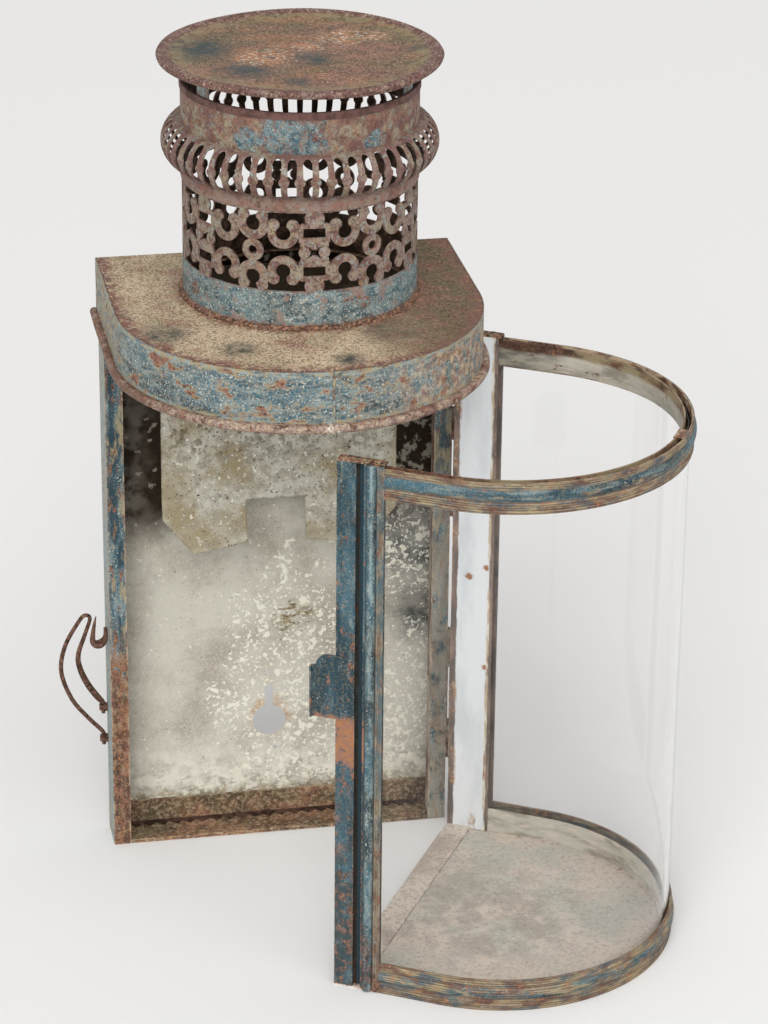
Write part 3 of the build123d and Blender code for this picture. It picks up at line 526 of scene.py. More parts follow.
class LANTERN_OT_roof(bpy.types.Operator):
    """Finish the roof plate and its skirt, with the lap where the skirt's ends meet"""

    bl_idname = "lantern.roof"
    bl_label = "Roof"

    def plate(self, c):
        f = Finish("roof_patina")
        f.colour = f.dab(c.tan, f.dab(c.ochre, c.russet, 10, 0.4, 1.2), 34, 0.45, 1.4)
        f.lay(c.orange, 1.6, 0.28, 0.9, 0.5, shift=0.2)
        f.lay(c.cream, 1.0, 0.2, 0.7, 0.6, shift=0.4)
        f.lay(c.olive, 1.2, 0.3, 0.7, 0.8, shift=0.6)
        for (x, y), reach in ROOF_STAINS:
            f.cover(c.smudge_and_shade, f.haze((x, y, ROOF_TOP), reach, x * MM))
        rust = rust_colour(f, 1.3)
        brown = f.dab(c.olive, f.dab(c.rust, c.russet, 1.4, 0.4, 0.9), 9, 0.5, 1.2, shift=2.8)
        brown = f.dab(brown, c.ochre, 1.3, 0.2, 0.8, 0.5, shift=2.5)
        brown = f.dab(brown, c.umber, 1.6, 0.3, 0.9, 0.6, shift=2.3)
        f.cover(brown, f.fading(f.axis("X"), *ROOF_BROWN, 30, 14))
        edge = f.fading(f.bow_radius(), *ROOF_EDGE, 9, 3.5)
        f.cover(f.dab(rust, c.plum, 5, 0.5, 0.8, shift=1.9), edge, f.patch(2.5, 0.72, 0.8, shift=0.9))
        f.cover(rust, f.fading(f.radius(CHIMNEY_AXIS), *ROOF_RING, 5, 2.5), f.patch(1.8, 0.6, 0.7))
        # Soot and painted shade on the roof's underside
        f.cover(c.soot_and_shade, f.past(f.axis("Z"), *ROOF_UNDERSIDE))
        dress(f.surface(0.6, 0.85), "roof_plate")

    def skirt(self, c):
        f = Finish("skirt_paint")
        drawn = (2.4, 2.4, 0.7)
        f.colour = paint_colour(f, 0.36, 0.09, stretch=drawn)
        f.lay(c.tan, 1.3, 0.3, 0.9, 0.25, shift=0.7)
        bare = f.dab(c.ochre, c.pale_blue, 3, 0.4, 0.9, shift=1.5)
        rust = rust_colour(f, 2.0)
        clouds = f.grain(9, 8.0, 0.66, stretch=(1.6, 1.6, 0.8), shift=1.2)
        f.cover(bare, f.over(clouds, 0.26, 0.4))
        f.cover(rust, f.over(clouds, 0.17, 0.3))
        pinkish = f.fading(f.axis("X"), *SKIRT_PINK, 14, 12)
        pinkish = f.both(pinkish, f.patch(5, 0.6, 1.0, 0.75, shift=0.4))
        f.cover(f.dab(c.tan, c.russet, 3, 0.5, 1.0, shift=0.8), pinkish)
        sides = f.both(f.fading(f.axis("Y"), *SKIRT_SIDES, 14, 16), f.patch(6, 0.8, 0.8, shift=3.0))
        f.cover(f.dab(bare, rust, 4, 0.35, 0.6, shift=3.3), sides)
        hems = f.either(*(f.past(f.axis("Z"), *hem) for hem in (SKIRT_TOP_HEM, SKIRT_LOW_HEM)))
        f.cover(bare, hems, f.patch(3, 0.6, 0.8, stretch=drawn))
        # Soot and painted shade inside the skirt
        f.cover(c.soot_and_shade, f.past(f.bow_radius(), *SKIRT_INSIDE))
        f.wear(rust, 0.9)
        dress(f.surface(0.5, 0.8), "roof_skirt")

    def lap(self, c):
        """Solder line down the skirt."""
        low, high = (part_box("roof_skirt")[i][2] for i in (0, 1))
        bm = bmesh.new()
        bmesh.ops.create_cube(bm, size=1.0)
        width = sizes().lap_width
        bmesh.ops.scale(bm, vec=Vector((width, width, high - low - 2 * MM)), verts=bm.verts)
        sides = uprights(bm)
        bmesh.ops.bevel(
            bm, geom=sides, offset=0.4 * width, affect="EDGES", segments=3, profile=0.5, material=-1
        )
        bmesh.ops.subdivide_edges(bm, edges=uprights(bm), cuts=LAP_ROWS, use_grid_fill=True)
        bmesh.ops.translate(bm, verts=bm.verts, vec=Vector((*metres(LAP_PLACE), (low + high) / 2)))
        for vert in bm.verts:
            vert.co.x += 0.3 * MM * unevenness(vert.co, 5).x
        f = Finish("lap_solder")
        f.colour = f.dab(c.ochre, f.dab(c.pale_blue, c.rust, 2, 0.5, 0.8, shift=1.0), 3, 0.5, 0.8)
        settle(bm, "skirt_lap", f.surface(0.5, 0.75), "case", "roof_tin")

    def execute(self, context):
        for make in (self.plate, self.skirt, self.lap):
            make(colours())
        return {"FINISHED"}


RIM_SECTION_SIDES = 14
RIM_BEAD = (89.4, 288.4, 2.1)
RIM_BAND = ((87.2, 286.5), (88.4, 290.5))
RIM_END = 1.0
RIM_STEPS = (14, 90)
RIM_LEFT = (-50, -80)


class LANTERN_OT_rim(bpy.types.Operator):
    """Make the rolled rim below the roof's skirt"""

    bl_idname = "lantern.rim"
    bl_label = "Rolled rim"

    def execute(self, context):
        c = colours()
        bm = bmesh.new()
        radius, height, bead = RIM_BEAD
        ring = bmesh.ops.create_circle(bm, segments=RIM_SECTION_SIDES, radius=bead * MM)["verts"]
        bmesh.ops.rotate(bm, verts=ring, matrix=Matrix.Rotation(math.pi / 2, 3, "X"))
        bmesh.ops.translate(bm, verts=ring, vec=metres((radius, -RIM_END, height)))
        (low_x, low_z), (high_x, high_z) = RIM_BAND
        corners = ((low_x, low_z), (high_x, low_z), (high_x, high_z), (low_x, high_z))
        strip = [bm.verts.new(metres((x, -RIM_END, z))) for x, z in corners]
        for first, second in zip(strip, strip[1:] + strip[:1]):
            bm.edges.new((first, second))
        sweep_bow(bm, list(bm.edges), -(BOW_CENTRE[1] + RIM_END) * MM, *RIM_STEPS)
        bmesh.ops.holes_fill(bm, edges=[e for e in bm.edges if e.is_boundary])
        tidy_shell(bm)
        for vert in bm.verts:
            vert.co += sizes().rim_wave * unevenness(vert.co, 26) * Vector((1.0, 1.0, 0.6))
        f = Finish("rim_rust")
        f.colour = f.dab(c.plum, f.dab(c.mauve, c.tan, 1.6, 0.35, 1.0, 0.7), 16, 0.75, 1.4)
        f.cover(c.rust, f.past(f.axis("X"), *RIM_LEFT), f.patch(5, 0.7, 0.8, 0.8, shift=0.3))
        f.lay(rust_colour(f), 4, 0.2, 0.6, shift=0.8)
        f.lay(c.umber, 1.0, 0.16, 0.6, 0.7, shift=1.8)
        for place, reach in RIM_CHIPS:
            f.cover(c.cream, f.spot(place, reach), f.patch(1.5, 0.4, 0.6, 0.8))
        settle(bm, "rolled_rim", f.surface(0.5, 0.8), "case", "roof_tin", "roof_rim")
        return {"FINISHED"}


# Radius and height above the roof
FOOT_PROFILE = (
    (55.6, -0.1),
    (57.9, -0.1),
    (57.8, 0.9),
    (57.0, 1.7),
    (56.1, 2.1),
    (55.6, 1.9),
    (55.6, -0.1),
)
FOOT_STEPS = 200
# Where a finish begins and where it is full
BAND_TOP = (333.5, 336.0)
BAND_FOOT = (320.5, 317.5)
GALLERY_FOOT = (381, 378)
COLLAR_UPPER = (410, 416)
COLLAR_HEM = (418.0, 418.8)
# Places of stains, with their reach
COLLAR_BLUES = (((-14, -110, 411), 9), ((-2, -113, 408), 8), ((-28, -104, 407), 6), ((30, -107, 405), 5))
BAND_RUSTS = (((20, -111, 331), 6), ((26, -108, 327), 4), ((-49, -75, 326), 5))


class LANTERN_OT_chimney(bpy.types.Operator):
    """Finish the drum, gallery, collar and legs, and make the soldered foot"""

    bl_idname = "lantern.chimney"
    bl_label = "Chimney"

    def patina(self, f, shift):
        """Grey-pink punched tin with rust, ochre and plum clouds."""
        c = colours()
        colour = f.dab(c.mauve, c.ash, 12, 0.5, 1.0, shift=shift)
        colour = f.dab(colour, c.plum, 5, 0.3, 0.7, 0.9, shift=shift + 0.4)
        colour = f.dab(colour, rust_colour(f, shift), 4, 0.2, 0.8, 0.7, shift=shift + 0.9)
        colour = f.dab(colour, c.ochre, 3, 0.1, 0.6, 0.7, shift=shift + 2.2)
        colour = f.dab(colour, c.umber, 1.1, 0.25, 0.9, 0.6, shift=shift + 1.4)
        return f.dab(colour, c.pale_blue, 2.4, 0.12, 0.7, 0.6, shift=shift + 1.7)

    def smoke_and_shade(self, f, c):
        """Blacken the inner faces: soot, and painted shade inside the chimney."""
        smoke_and_shade = f.dab(c.soot_and_shade, c.rust, 6, 0.4, 0.9, 0.7, shift=0.4)
        f.cover(f.dab(smoke_and_shade, c.umber, 3, 0.3, 0.9, shift=0.7), f.inward(CHIMNEY_AXIS))

    def drum(self, c):
        f = Finish("drum_patina")
        rust = rust_colour(f, 0.5)
        band = paint_colour(f, 0.62, 0.08, shift=0.6, stretch=(1.4, 1.4, 0.8))
        flecks = f.both(f.patch(1.1, 0.13, 0.8, shift=2.6), f.patch(12, 0.6, 1.2, 0.5, shift=3.6))
        band = f.blend(flecks, band, c.cream)
        for place, reach in BAND_RUSTS:
            band = f.blend(f.both(f.spot(place, reach), f.patch(2, 0.55, 0.5)), band, rust)
        band = f.dab(band, c.mauve, 7, 0.14, 0.4, 0.8, shift=4.4)
        low = f.both(f.fading(f.axis("Z"), *BAND_FOOT, 4, 1.6), f.patch(2, 0.7, 0.7))
        band = f.blend(low, band, rust)
        height = f.wobble(f.axis("Z"), 6, 1.5)
        f.colour = f.blend(f.past(height, *BAND_TOP), band, self.patina(f, 0.31))
        f.wear(c.plum, 0.8, 0.5)
        self.smoke_and_shade(f, c)
        dress(f.surface(0.55, 0.8), "chimney_drum")

    def gallery(self, c):
        f = Finish("gallery_patina")
        f.colour = f.dab(self.patina(f, 0.9), c.plum, 9, 0.4, 0.9, 0.8, shift=0.2)
        foot = f.fading(f.axis("Z"), *GALLERY_FOOT, 6, 1.5)
        foot = f.both(foot, f.patch(3, 0.7, 0.9, 0.8, shift=0.6))
        f.cover(f.dab(c.mauve, c.russet, 4, 0.4, 1.0, shift=1.6), foot)
        self.smoke_and_shade(f, c)
        dress(f.surface(0.55, 0.8), "chimney_gallery")

    def collar(self, c):
        f = Finish("collar_patina")
        rust = rust_colour(f, 0.7)
        ground = f.dab(c.ash, c.ochre, 4, 0.3, 1.0, 0.6)
        f.colour = f.dab(ground, c.plum, 8, 0.5, 1.0, shift=0.2)
        f.lay(rust, 2.5, 0.35, 0.9, 0.8, shift=0.5)
        upper = f.fading(f.axis("Z"), *COLLAR_UPPER, 9, 4)
        upper = f.both(upper, f.patch(5, 0.7, 1.0, 0.7, shift=0.9))
        f.cover(f.dab(c.plum, c.russet, 4, 0.5, 0.9, shift=1.2), upper)
        for place, reach in COLLAR_BLUES:
            patch = f.step(f.haze(place, 1.9 * reach, reach * MM), 0.15, 0.5)
            f.cover(paint_colour(f, 0.5, 0.05), patch, f.patch(2, 0.8, 0.9))
        f.lay(c.pale_blue, 3.5, 0.08, 0.6, 0.6, shift=5.1)
        hem = f.past(f.axis("Z"), *COLLAR_HEM)
        f.cover(f.dab(c.plum, c.umber, 6, 0.4, 1.4, 0.6), hem)
        f.lay(c.umber, 0.9, 0.16, 0.7, 0.6, shift=1.4)
        self.smoke_and_shade(f, c)
        dress(f.surface(0.5, 0.8), "chimney_collar")

    def legs(self, c):
        f = Finish("leg_patina")
        f.colour = f.dab(self.patina(f, 1.9), c.pale_blue, 5, 0.4, 0.6)
        self.smoke_and_shade(f, c)
        dress(f.surface(0.5, 0.8), "cap_legs")

    def foot(self, c):
        bm = bmesh.new()
        profile = [(radius, ROOF_TOP + rise) for radius, rise in FOOT_PROFILE]
        turn_on_axis(bm, profile, CHIMNEY_AXIS, FOOT_STEPS)
        for vert in bm.verts:
            vert.co += sizes().solder_lumps * unevenness(vert.co, 4) * Vector((1.0, 1.0, 0.7))
        f = Finish("foot_rust")
        f.colour = f.dab(rust_colour(f, 0.1), c.orange, 3, 0.2, 0.9, 0.5, shift=0.2)
        f.lay(c.umber, 1.6, 0.45, 0.9, 0.8, shift=0.6)
        f.lay(c.ochre, 2.0, 0.1, 0.7, 0.6, shift=1.6)
        settle(bm, "soldered_foot", f.surface(0.6, 0.85), "case", "chimney_tin", "chimney_foot")

    def execute(self, context):
        for make in (self.drum, self.gallery, self.collar, self.legs, self.foot):
            make(colours())
        return {"FINISHED"}


CAP_PROFILE = (
    (0.0, 432.2),
    (30.0, 432.3),
    (61.0, 432.4),
    (63.2, 431.5),
    (65.4, 431.0),
    (67.0, 431.8),
    (67.5, 433.2),
    (66.7, 434.5),
    (65.0, 435.0),
    (63.2, 434.8),
    (61.2, 433.9),
    (59.6, 433.3),
    (50.0, 433.2),
    (38.0, 433.15),
    (26.0, 433.1),
    (13.0, 433.05),
    (0.0, 433.0),
)
CAP_TOP = 433.2
CAP_STEPS = 96
# Where a finish begins and where it is full
CAP_BORDER = (50, 59)
CAP_ROLL = (60.2, 61.8)
CAP_SHADED_UNDERSIDE = (63.5, 62)
# Places of stains, with their reach
CAP_STAINS = (((-44, -44), 28), ((-26, -83), 22), ((9, -66), 17), ((-4, -101), 9), ((60, -60), 9))
CAP_SCRATCHES = (((-9, -58), 13), ((-19, -66), 10), ((9, -48), 9), ((29, -36), 13), ((42, -36), 9))


class LANTERN_OT_cap(bpy.types.Operator):
    """Make the cap over the chimney"""

    bl_idname = "lantern.cap"
    bl_label = "Cap"

    def execute(self, context):
        c = colours()
        bm = bmesh.new()
        turn_on_axis(bm, CAP_PROFILE, CHIMNEY_AXIS, CAP_STEPS)
        for vert in bm.verts:
            vert.co.z += sizes().cap_warp * noise.noise(Vector((vert.co.x, vert.co.y, 0.0)) / (55 * MM))
        f = Finish("cap_patina")
        brushed = (1.6, 0.9, 1.0)
        f.colour = f.dab(c.olive, f.dab(c.rust, c.russet, 9, 0.5, 1.2), 30, 0.5, 1.3, stretch=brushed)
        f.lay(c.orange, 14, 0.25, 1.2, 0.5, stretch=brushed, shift=0.4)
        f.lay(c.umber, 1.5, 0.4, 0.9, 0.6, shift=0.8)
        f.lay(c.tan, 1.2, 0.2, 0.8, 0.4, shift=1.8)
        bluish = f.blend(0.4, c.smudge_and_shade, c.deep_blue)
        for (x, y), reach in CAP_STAINS:
            f.cover(bluish, f.haze((x, y, CAP_TOP), reach, x * MM))
        near = f.either(*(f.spot((x, y, CAP_TOP), reach) for (x, y), reach in CAP_SCRATCHES))
        f.cover(c.orange, near, f.patch(4, 0.5, 0.9, 0.8, stretch=brushed, shift=2.0))
        f.cover(c.cream, near, f.patch(1.6, 0.16, 0.6, 0.7, stretch=brushed, shift=2.9))
        reach = f.wobble(f.radius(CHIMNEY_AXIS), 6, 1.0)
        f.cover(f.blend(0.5, c.ochre, c.olive), f.past(reach, *CAP_BORDER), f.patch(5, 0.6, 1.1, 0.7))
        rolled = f.dab(c.plum, c.mauve, 6, 0.3, 1.0, 0.6, shift=0.6)
        rolled = f.dab(rolled, c.umber, 1.6, 0.4, 0.9, 0.7, shift=1.6)
        rolled = f.dab(rolled, c.tan, 1.3, 0.1, 0.8, 0.6, shift=2.6)
        f.cover(rolled, f.past(reach, *CAP_ROLL))
        # Painted shade under the cap's rolled rim
        under = f.step(f.axis("Z", f.normal), -0.2, -0.7)
        f.cover(c.soot_and_shade, under, f.past(reach, *CAP_SHADED_UNDERSIDE))
        settle(bm, "flat_cap", f.surface(0.5, 0.8), "case", "cap_tin", "cap_disc")
        return {"FINISHED"}


# Places across and up the panel, with their reach
PANEL_CROWDS = (((12, 104), 46), ((16, 44), 52), ((70, 160), 44), ((72, 60), 46), ((-12, 66), 26))
PANEL_SMUDGES_AND_SHADE = (((60, 178), 34), ((76, 150), 36), ((78, 112), 24))
PANEL_STAIN = (10, BACK_FACE, 113)
KEYHOLE = (-2.6, BACK_FACE, 58.0)
# Sizes of pale flecks, with how much they crowd together
PANEL_FLECKS = ((9.0, 0.085), (3.2, 0.12), (1.4, 0.11))
# How far lower the smoke and painted shade reach at the sides
SMOKE_AND_SHADE_DROP = 22
# Where a finish begins and where it is full
PANEL_PALE = (52, 22)
PANEL_GRIME = (44, 20)
PANEL_SHADE = (-58, -78)
PANEL_FOOT = (20, 15)
SMOKE_AND_SHADE_FLAKES = (-30, 40)
SMOKE_AND_SHADE_SIDES = (25, 50)
SMOKE_AND_SHADE_LINE = (180, 202)
WALL_FOOT = (34, 4)
WALL_SIDES = (72, 88)
POST_RUST = (132, 96)
POST_DUST = (250, 150)
POST_OUTSIDE = (86.6, 87.0)
POST_INSIDE = (86.9, 86.5)


class LANTERN_OT_case(bpy.types.Operator):
    """Finish the back panel, posts, tray and its saw-tooth strip"""

    bl_idname = "lantern.case"
    bl_label = "Case"

    def back(self, c):
        f = Finish("back_tin")
        across = f.axis("X")
        height = f.axis("Z")
        f.colour = f.dab(c.bare, c.pewter, 45, 0.35, 1.4, 0.8)
        f.lay(c.taupe, 1.2, 0.3, 0.8, 0.35, shift=0.3)
        f.cover(c.cream, f.fading(height, *PANEL_PALE, 10, 6), f.patch(7, 0.6, 1.0, 0.7, shift=0.7))
        grimy = f.patch(4, 0.16, 0.6, 0.7, stretch=(2, 1, 1), shift=1.7)
        f.cover(c.pewter, f.fading(height, *PANEL_GRIME, 10, 6), grimy)
        # Grey hazes on the right of the panel: smudges and painted shade
        for (x, z), reach in PANEL_SMUDGES_AND_SHADE:
            f.cover(c.smudge_and_shade, f.haze((x, BACK_FACE, z), reach, x * MM))
        crowd = f.either(*(f.spot((x, BACK_FACE, z), reach) for (x, z), reach in PANEL_CROWDS))
        for size, rise in PANEL_FLECKS:
            flecks = f.calc("MULTIPLY_ADD", crowd, rise, f.grain(size, 3.0, 0.5, shift=1.1 * size))
            f.cover(c.cream, f.over(flecks, 0.005, 0.2))
        stain = f.both(f.spot(PANEL_STAIN, 11), f.patch(4, 0.5, 0.6, stretch=(2, 1, 0.7)))
        f.cover(f.dab(c.ochre, c.olive, 3, 0.5, 0.8), stain)
        f.cover(f.dab(c.tan, c.orange, 2, 0.4, 0.9, 0.7), f.spot(KEYHOLE, 12), f.patch(3, 0.7, 1.0))
        # Soot and painted shade high on the panel, under the roof, reaching lower at the sides, with
        # paler flakes
        flaked = f.calc("MULTIPLY_ADD", f.past(across, *SMOKE_AND_SHADE_FLAKES), 0.09, f.grain(6, shift=0.6))
        smoke_and_shade = f.dab(c.soot_and_shade, c.umber, 5, 0.3, 0.9, shift=0.9)
        smoke_and_shade = f.blend(f.over(flaked, 0.05, 0.5), smoke_and_shade, c.pewter)
        aside = f.calc("ABSOLUTE", across)
        sides = f.past(aside, *SMOKE_AND_SHADE_SIDES)
        reach = f.calc("MULTIPLY_ADD", sides, SMOKE_AND_SHADE_DROP * MM, f.wobble(height, 16, 5))
        f.cover(smoke_and_shade, f.past(reach, *SMOKE_AND_SHADE_LINE))
        # Painted shade down the left side of the panel
        f.cover(c.pewter, f.fading(across, *PANEL_SHADE, 20, 6), f.patch(12, 0.6, 1.2, 0.5))
        f.lay(c.umber, 1.3, 0.014, 0.5, shift=2.4)
        foot = f.both(f.fading(height, *PANEL_FOOT, 6, 3), f.patch(4, 0.6, 0.9, 0.8))
        f.cover(f.dab(c.ochre, c.olive, 4, 0.4, 0.9, shift=0.4), foot)
        wall = f.dab(c.pewter, c.ash, 40, 0.45, 1.4, 0.7)
        wall = f.dab(wall, c.rust, 1.8, 0.3, 0.9, 0.4, shift=0.5)
        rims = f.either(f.fading(height, *WALL_FOOT, 20, 9), f.fading(aside, *WALL_SIDES, 16, 6))
        rusted = f.either(rims, f.patch(34, 0.2, 0.8, shift=0.8))
        rusted = f.both(rusted, f.patch(5, 0.6, 1.2, 0.75, shift=1.4))
        wall = f.blend(rusted, wall, rust_colour(f, 0.8))
        f.cover(wall, f.step(f.axis("Y", f.normal), 0.4, 0.7))
        dress(f.surface(0.45, 0.7, 0.15), "back_panel")

    def posts(self, c):
        f = Finish("post_paint")
        across = f.axis("X")
        height = f.axis("Z")
        rust = rust_colour(f, 1.0)
        drawn = (0.8, 0.8, 3.0)
        f.colour = paint_colour(f, 0.22, 0.1, shift=0.4, stretch=drawn)
        f.lay(c.deep_blue, 9, 0.35, 0.7, 0.85, stretch=drawn, shift=1.0)
        f.lay(c.ochre, 5, 0.16, 0.6, 0.8, stretch=drawn, shift=1.8)
        f.lay(rust, 3, 0.14, 0.4, stretch=drawn, shift=2.6)
        red = f.both(f.fading(height, *POST_RUST, 18, 14), f.past(across, 0, -1), f.patch(5, 0.95, 0.8))
        ruddy = f.dab(rust, c.orange, 9, 0.3, 1.0, 0.5, stretch=drawn, shift=3.4)
        ruddy = f.dab(ruddy, c.ochre, 2, 0.18, 0.9, 0.5, stretch=drawn, shift=1.4)
        f.cover(f.dab(ruddy, c.umber, 3, 0.3, 1.0, 0.6, shift=2.4), red)
        dusty = f.both(f.past(across, 0, 1), f.fading(height, *POST_DUST, 18, 14))
        dusty = f.both(dusty, f.patch(9, 0.85, 1.2, 0.7))
        f.cover(f.dab(c.ash, c.pewter, 6, 0.4, 1.0, stretch=drawn, shift=0.9), dusty)
        sides = f.step(f.calc("ABSOLUTE", f.axis("X", f.normal)), 0.6, 0.8)
        chalk = f.dab(c.pale_blue, c.pewter, 14, 0.4, 1.3, stretch=drawn, shift=0.7)
        chalk = f.dab(chalk, rust, 2.5, 0.14, 0.8, 0.85, shift=1.7)
        aside = f.calc("ABSOLUTE", across)
        f.cover(chalk, sides, f.past(aside, *POST_OUTSIDE))
        f.cover(f.dab(c.rust, c.pewter, 5, 0.5, 0.8, stretch=drawn), sides, f.past(aside, *POST_INSIDE))
        f.wear(f.dab(rust, c.tan, 4, 0.4, 0.8), 1.5, 0.8)
        dress(f.surface(0.45, 0.75), "left_post", "right_post")

    def tray(self, c):
        f = Finish("tray_rust")
        f.colour = patina_colour(f, f.dab(c.orange, c.russet, 6, 0.5, 1.2), c.olive, 0.5)
        f.lay(c.umber, 12, 0.4, 1.4, 0.6, shift=0.9)
        f.lay(c.tan, 2, 0.25, 1.0, 0.45, shift=1.6)
        f.wear(c.tan, 0.9, 0.4)
        dress(f.surface(0.6, 0.85), "bottom_tray")
        f = Finish("tooth_rust")
        f.colour = f.dab(c.umber, c.rust, 4, 0.4, 1.0, 0.6)
        dress(f.surface(0.6, 0.85), "tray_teeth")

    def execute(self, context):
        for make in (self.back, self.posts, self.tray):
            make(colours())
        return {"FINISHED"}


PLATE_FRONT = -19.6
NOTCH = (-17.0, 13.0, 190.0)
LOBE_TIP = 44.5
LOBE_LOW = 168.0
LOBE_SHOULDER = 182.0
CURL_START = 200.0
CURL_RADIUS = 118.0
CURL_SIDE = 40.0
PLATE_CUTS = (26, 52)
# Where a finish begins and where it is full
PLATE_MOTTLE = (196, 236)
PLATE_SHADE_LIMIT = (236, 200)
PLATE_SMOKE_AND_SHADE = (262, 300)
LOBE_SHADE = (190, 164)
PLATE_SHADED_SIDES = (38, 60)


class LANTERN_OT_reflector(bpy.types.Operator):
    """Make the reflector with its two curled lobes"""

    bl_idname = "lantern.reflector"
    bl_label = "Reflector"

    def shape(self):
        left, right, notch_top = NOTCH
        low, high = corners("reflector")
        outline = (
            (low.x, high.z),
            (low.x, LOBE_SHOULDER),
            (-LOBE_TIP, low.z),
            (left, LOBE_LOW),
            (left, notch_top),
            (right, notch_top),
            (right, LOBE_LOW),
            (LOBE_TIP, low.z),
            (high.x, LOBE_SHOULDER),
            (high.x, high.z),
        )
        bm = bmesh.new()
        bm.faces.new([bm.verts.new(metres((x, PLATE_FRONT, z))) for x, z in outline])
        for way, cuts in zip((Vector((1, 0, 0)), Vector((0, 0, 1))), PLATE_CUTS):
            for i in range(1, cuts):
                place = low.lerp(high, i / cuts) * MM
                sheet = bm.verts[:] + bm.edges[:] + bm.faces[:]
                bmesh.ops.bisect_plane(bm, geom=sheet, plane_co=place, plane_no=way)
        for vert in bm.verts:
            drop = max(0.0, CURL_START - vert.co.z / MM)
            side = max(0.0, abs(vert.co.x) / MM - CURL_SIDE)
            share = drop / (CURL_START - low.z)
            vert.co.y -= (drop**2 + share * side**2) / (2 * CURL_RADIUS) * MM
            vert.co.y += 0.5 * MM * unevenness(vert.co, 40).y
        bmesh.ops.recalc_face_normals(bm, faces=bm.faces)
        bmesh.ops.solidify(bm, geom=bm.faces[:], thickness=sizes().plate_thickness)
        bmesh.ops.recalc_face_normals(bm, faces=bm.faces)
        return bm

    def execute(self, context):
        c = colours()
        f = Finish("reflector_tin")
        height = f.axis("Z")
        f.colour = f.dab(c.bare, c.ochre, 26, 0.5, 1.3)
        f.lay(c.pewter, 5, 0.35, 0.8, 0.7, shift=0.4)
        f.cover(c.olive, f.patch(4, 0.3, 0.6, 0.85, shift=0.9), f.fading(height, *PLATE_MOTTLE, 14, 12))
        f.lay(c.cream, 2.2, 0.06, 0.4, shift=1.6)
        aside = f.calc("ABSOLUTE", f.axis("X"))
        # Painted shade in olive-ochre on the curled lobes, the sides and the lower plate
        low = f.either(f.past(height, *LOBE_SHADE), f.past(aside, *PLATE_SHADED_SIDES))
        low = f.both(low, f.fading(height, *PLATE_SHADE_LIMIT, 14, 8), f.patch(14, 0.75, 1.3, 0.75))
        f.cover(f.blend(0.12, c.ochre, c.olive), low)
        # Soot and painted shade at the top of the plate, under the roof
        f.cover(c.soot_and_shade, f.fading(height, *PLATE_SMOKE_AND_SHADE, 20, 12))
        f.lay(c.umber, 1.2, 0.06, 0.6, shift=2.1)
        f.wear(c.olive, 0.9, 0.6)
        plate = f.surface(0.45, 0.7, 0.1)
        settle(self.shape(), "curled_reflector", plate, "case", "reflector_tin", "reflector")
        return {"FINISHED"}


# Bands of the shut door, from side to side
TOP_BEAD = (267.0, 273.0)
BOTTOM_BEAD = (6.0, 12.0)
BARE_PATCH = (121.0, 146.0)
STILE_GROOVE = (-37.5, -33.5)
WHITE_FACE = (-44.2, -27.2)
GILDED_EDGE = (-44.8, -43.4)
BEAD_CROWN = (-42.4, -41.2)
GROOVE_SPACING = 1.2
# Where a finish begins and where it is full, on the shut door
STILE_RUST = (125, 55)
LATCH_WEB = (-86.5, -87.2)
GROOVE_FLOOR = (83.2, 83.6)
GROOVE_MOUTH = (87.9, 85.5)
GROOVE_SHADE = (-35.2, -34.0)
HINGE_SIDE = (70, 80)
HINGE_FACE = (82.6, 82.3)
HINGE_FOLD = (87.6, 87.4)
WHITE_BACK = (-28.6, -27.4)
WHITE_FOOT = (14, 4)
BEAD_SHADED_SIDE = (-41.0, -39.0)
BEAD_FRONT = (-43.4, -43.9)
BEAD_GROOVES = (-43.0, -43.6)
BEAD_CHALK_AND_HIGHLIGHT = (110, 240)
BEAD_BLUE = (40, 150)
BEAD_RUST = (46, 14)
UPPER_PIECES = (100, 260)
RAIL_INSIDE = (87.2, 86.9)
FLOOR_CLOUD = (70, 20)
FLOOR_RIM = (80, 85)
LINER_SHADED_BACK = (-110, -60)
LINER_EDGE = (270.8, 272.8)
# Places of rust spots, with their reach
WHITE_SPOTS = (((82.0, -33.5, 146), 2.2), ((82.0, -42.6, 152), 1.8), ((82.0, -42.8, 96), 1.6))


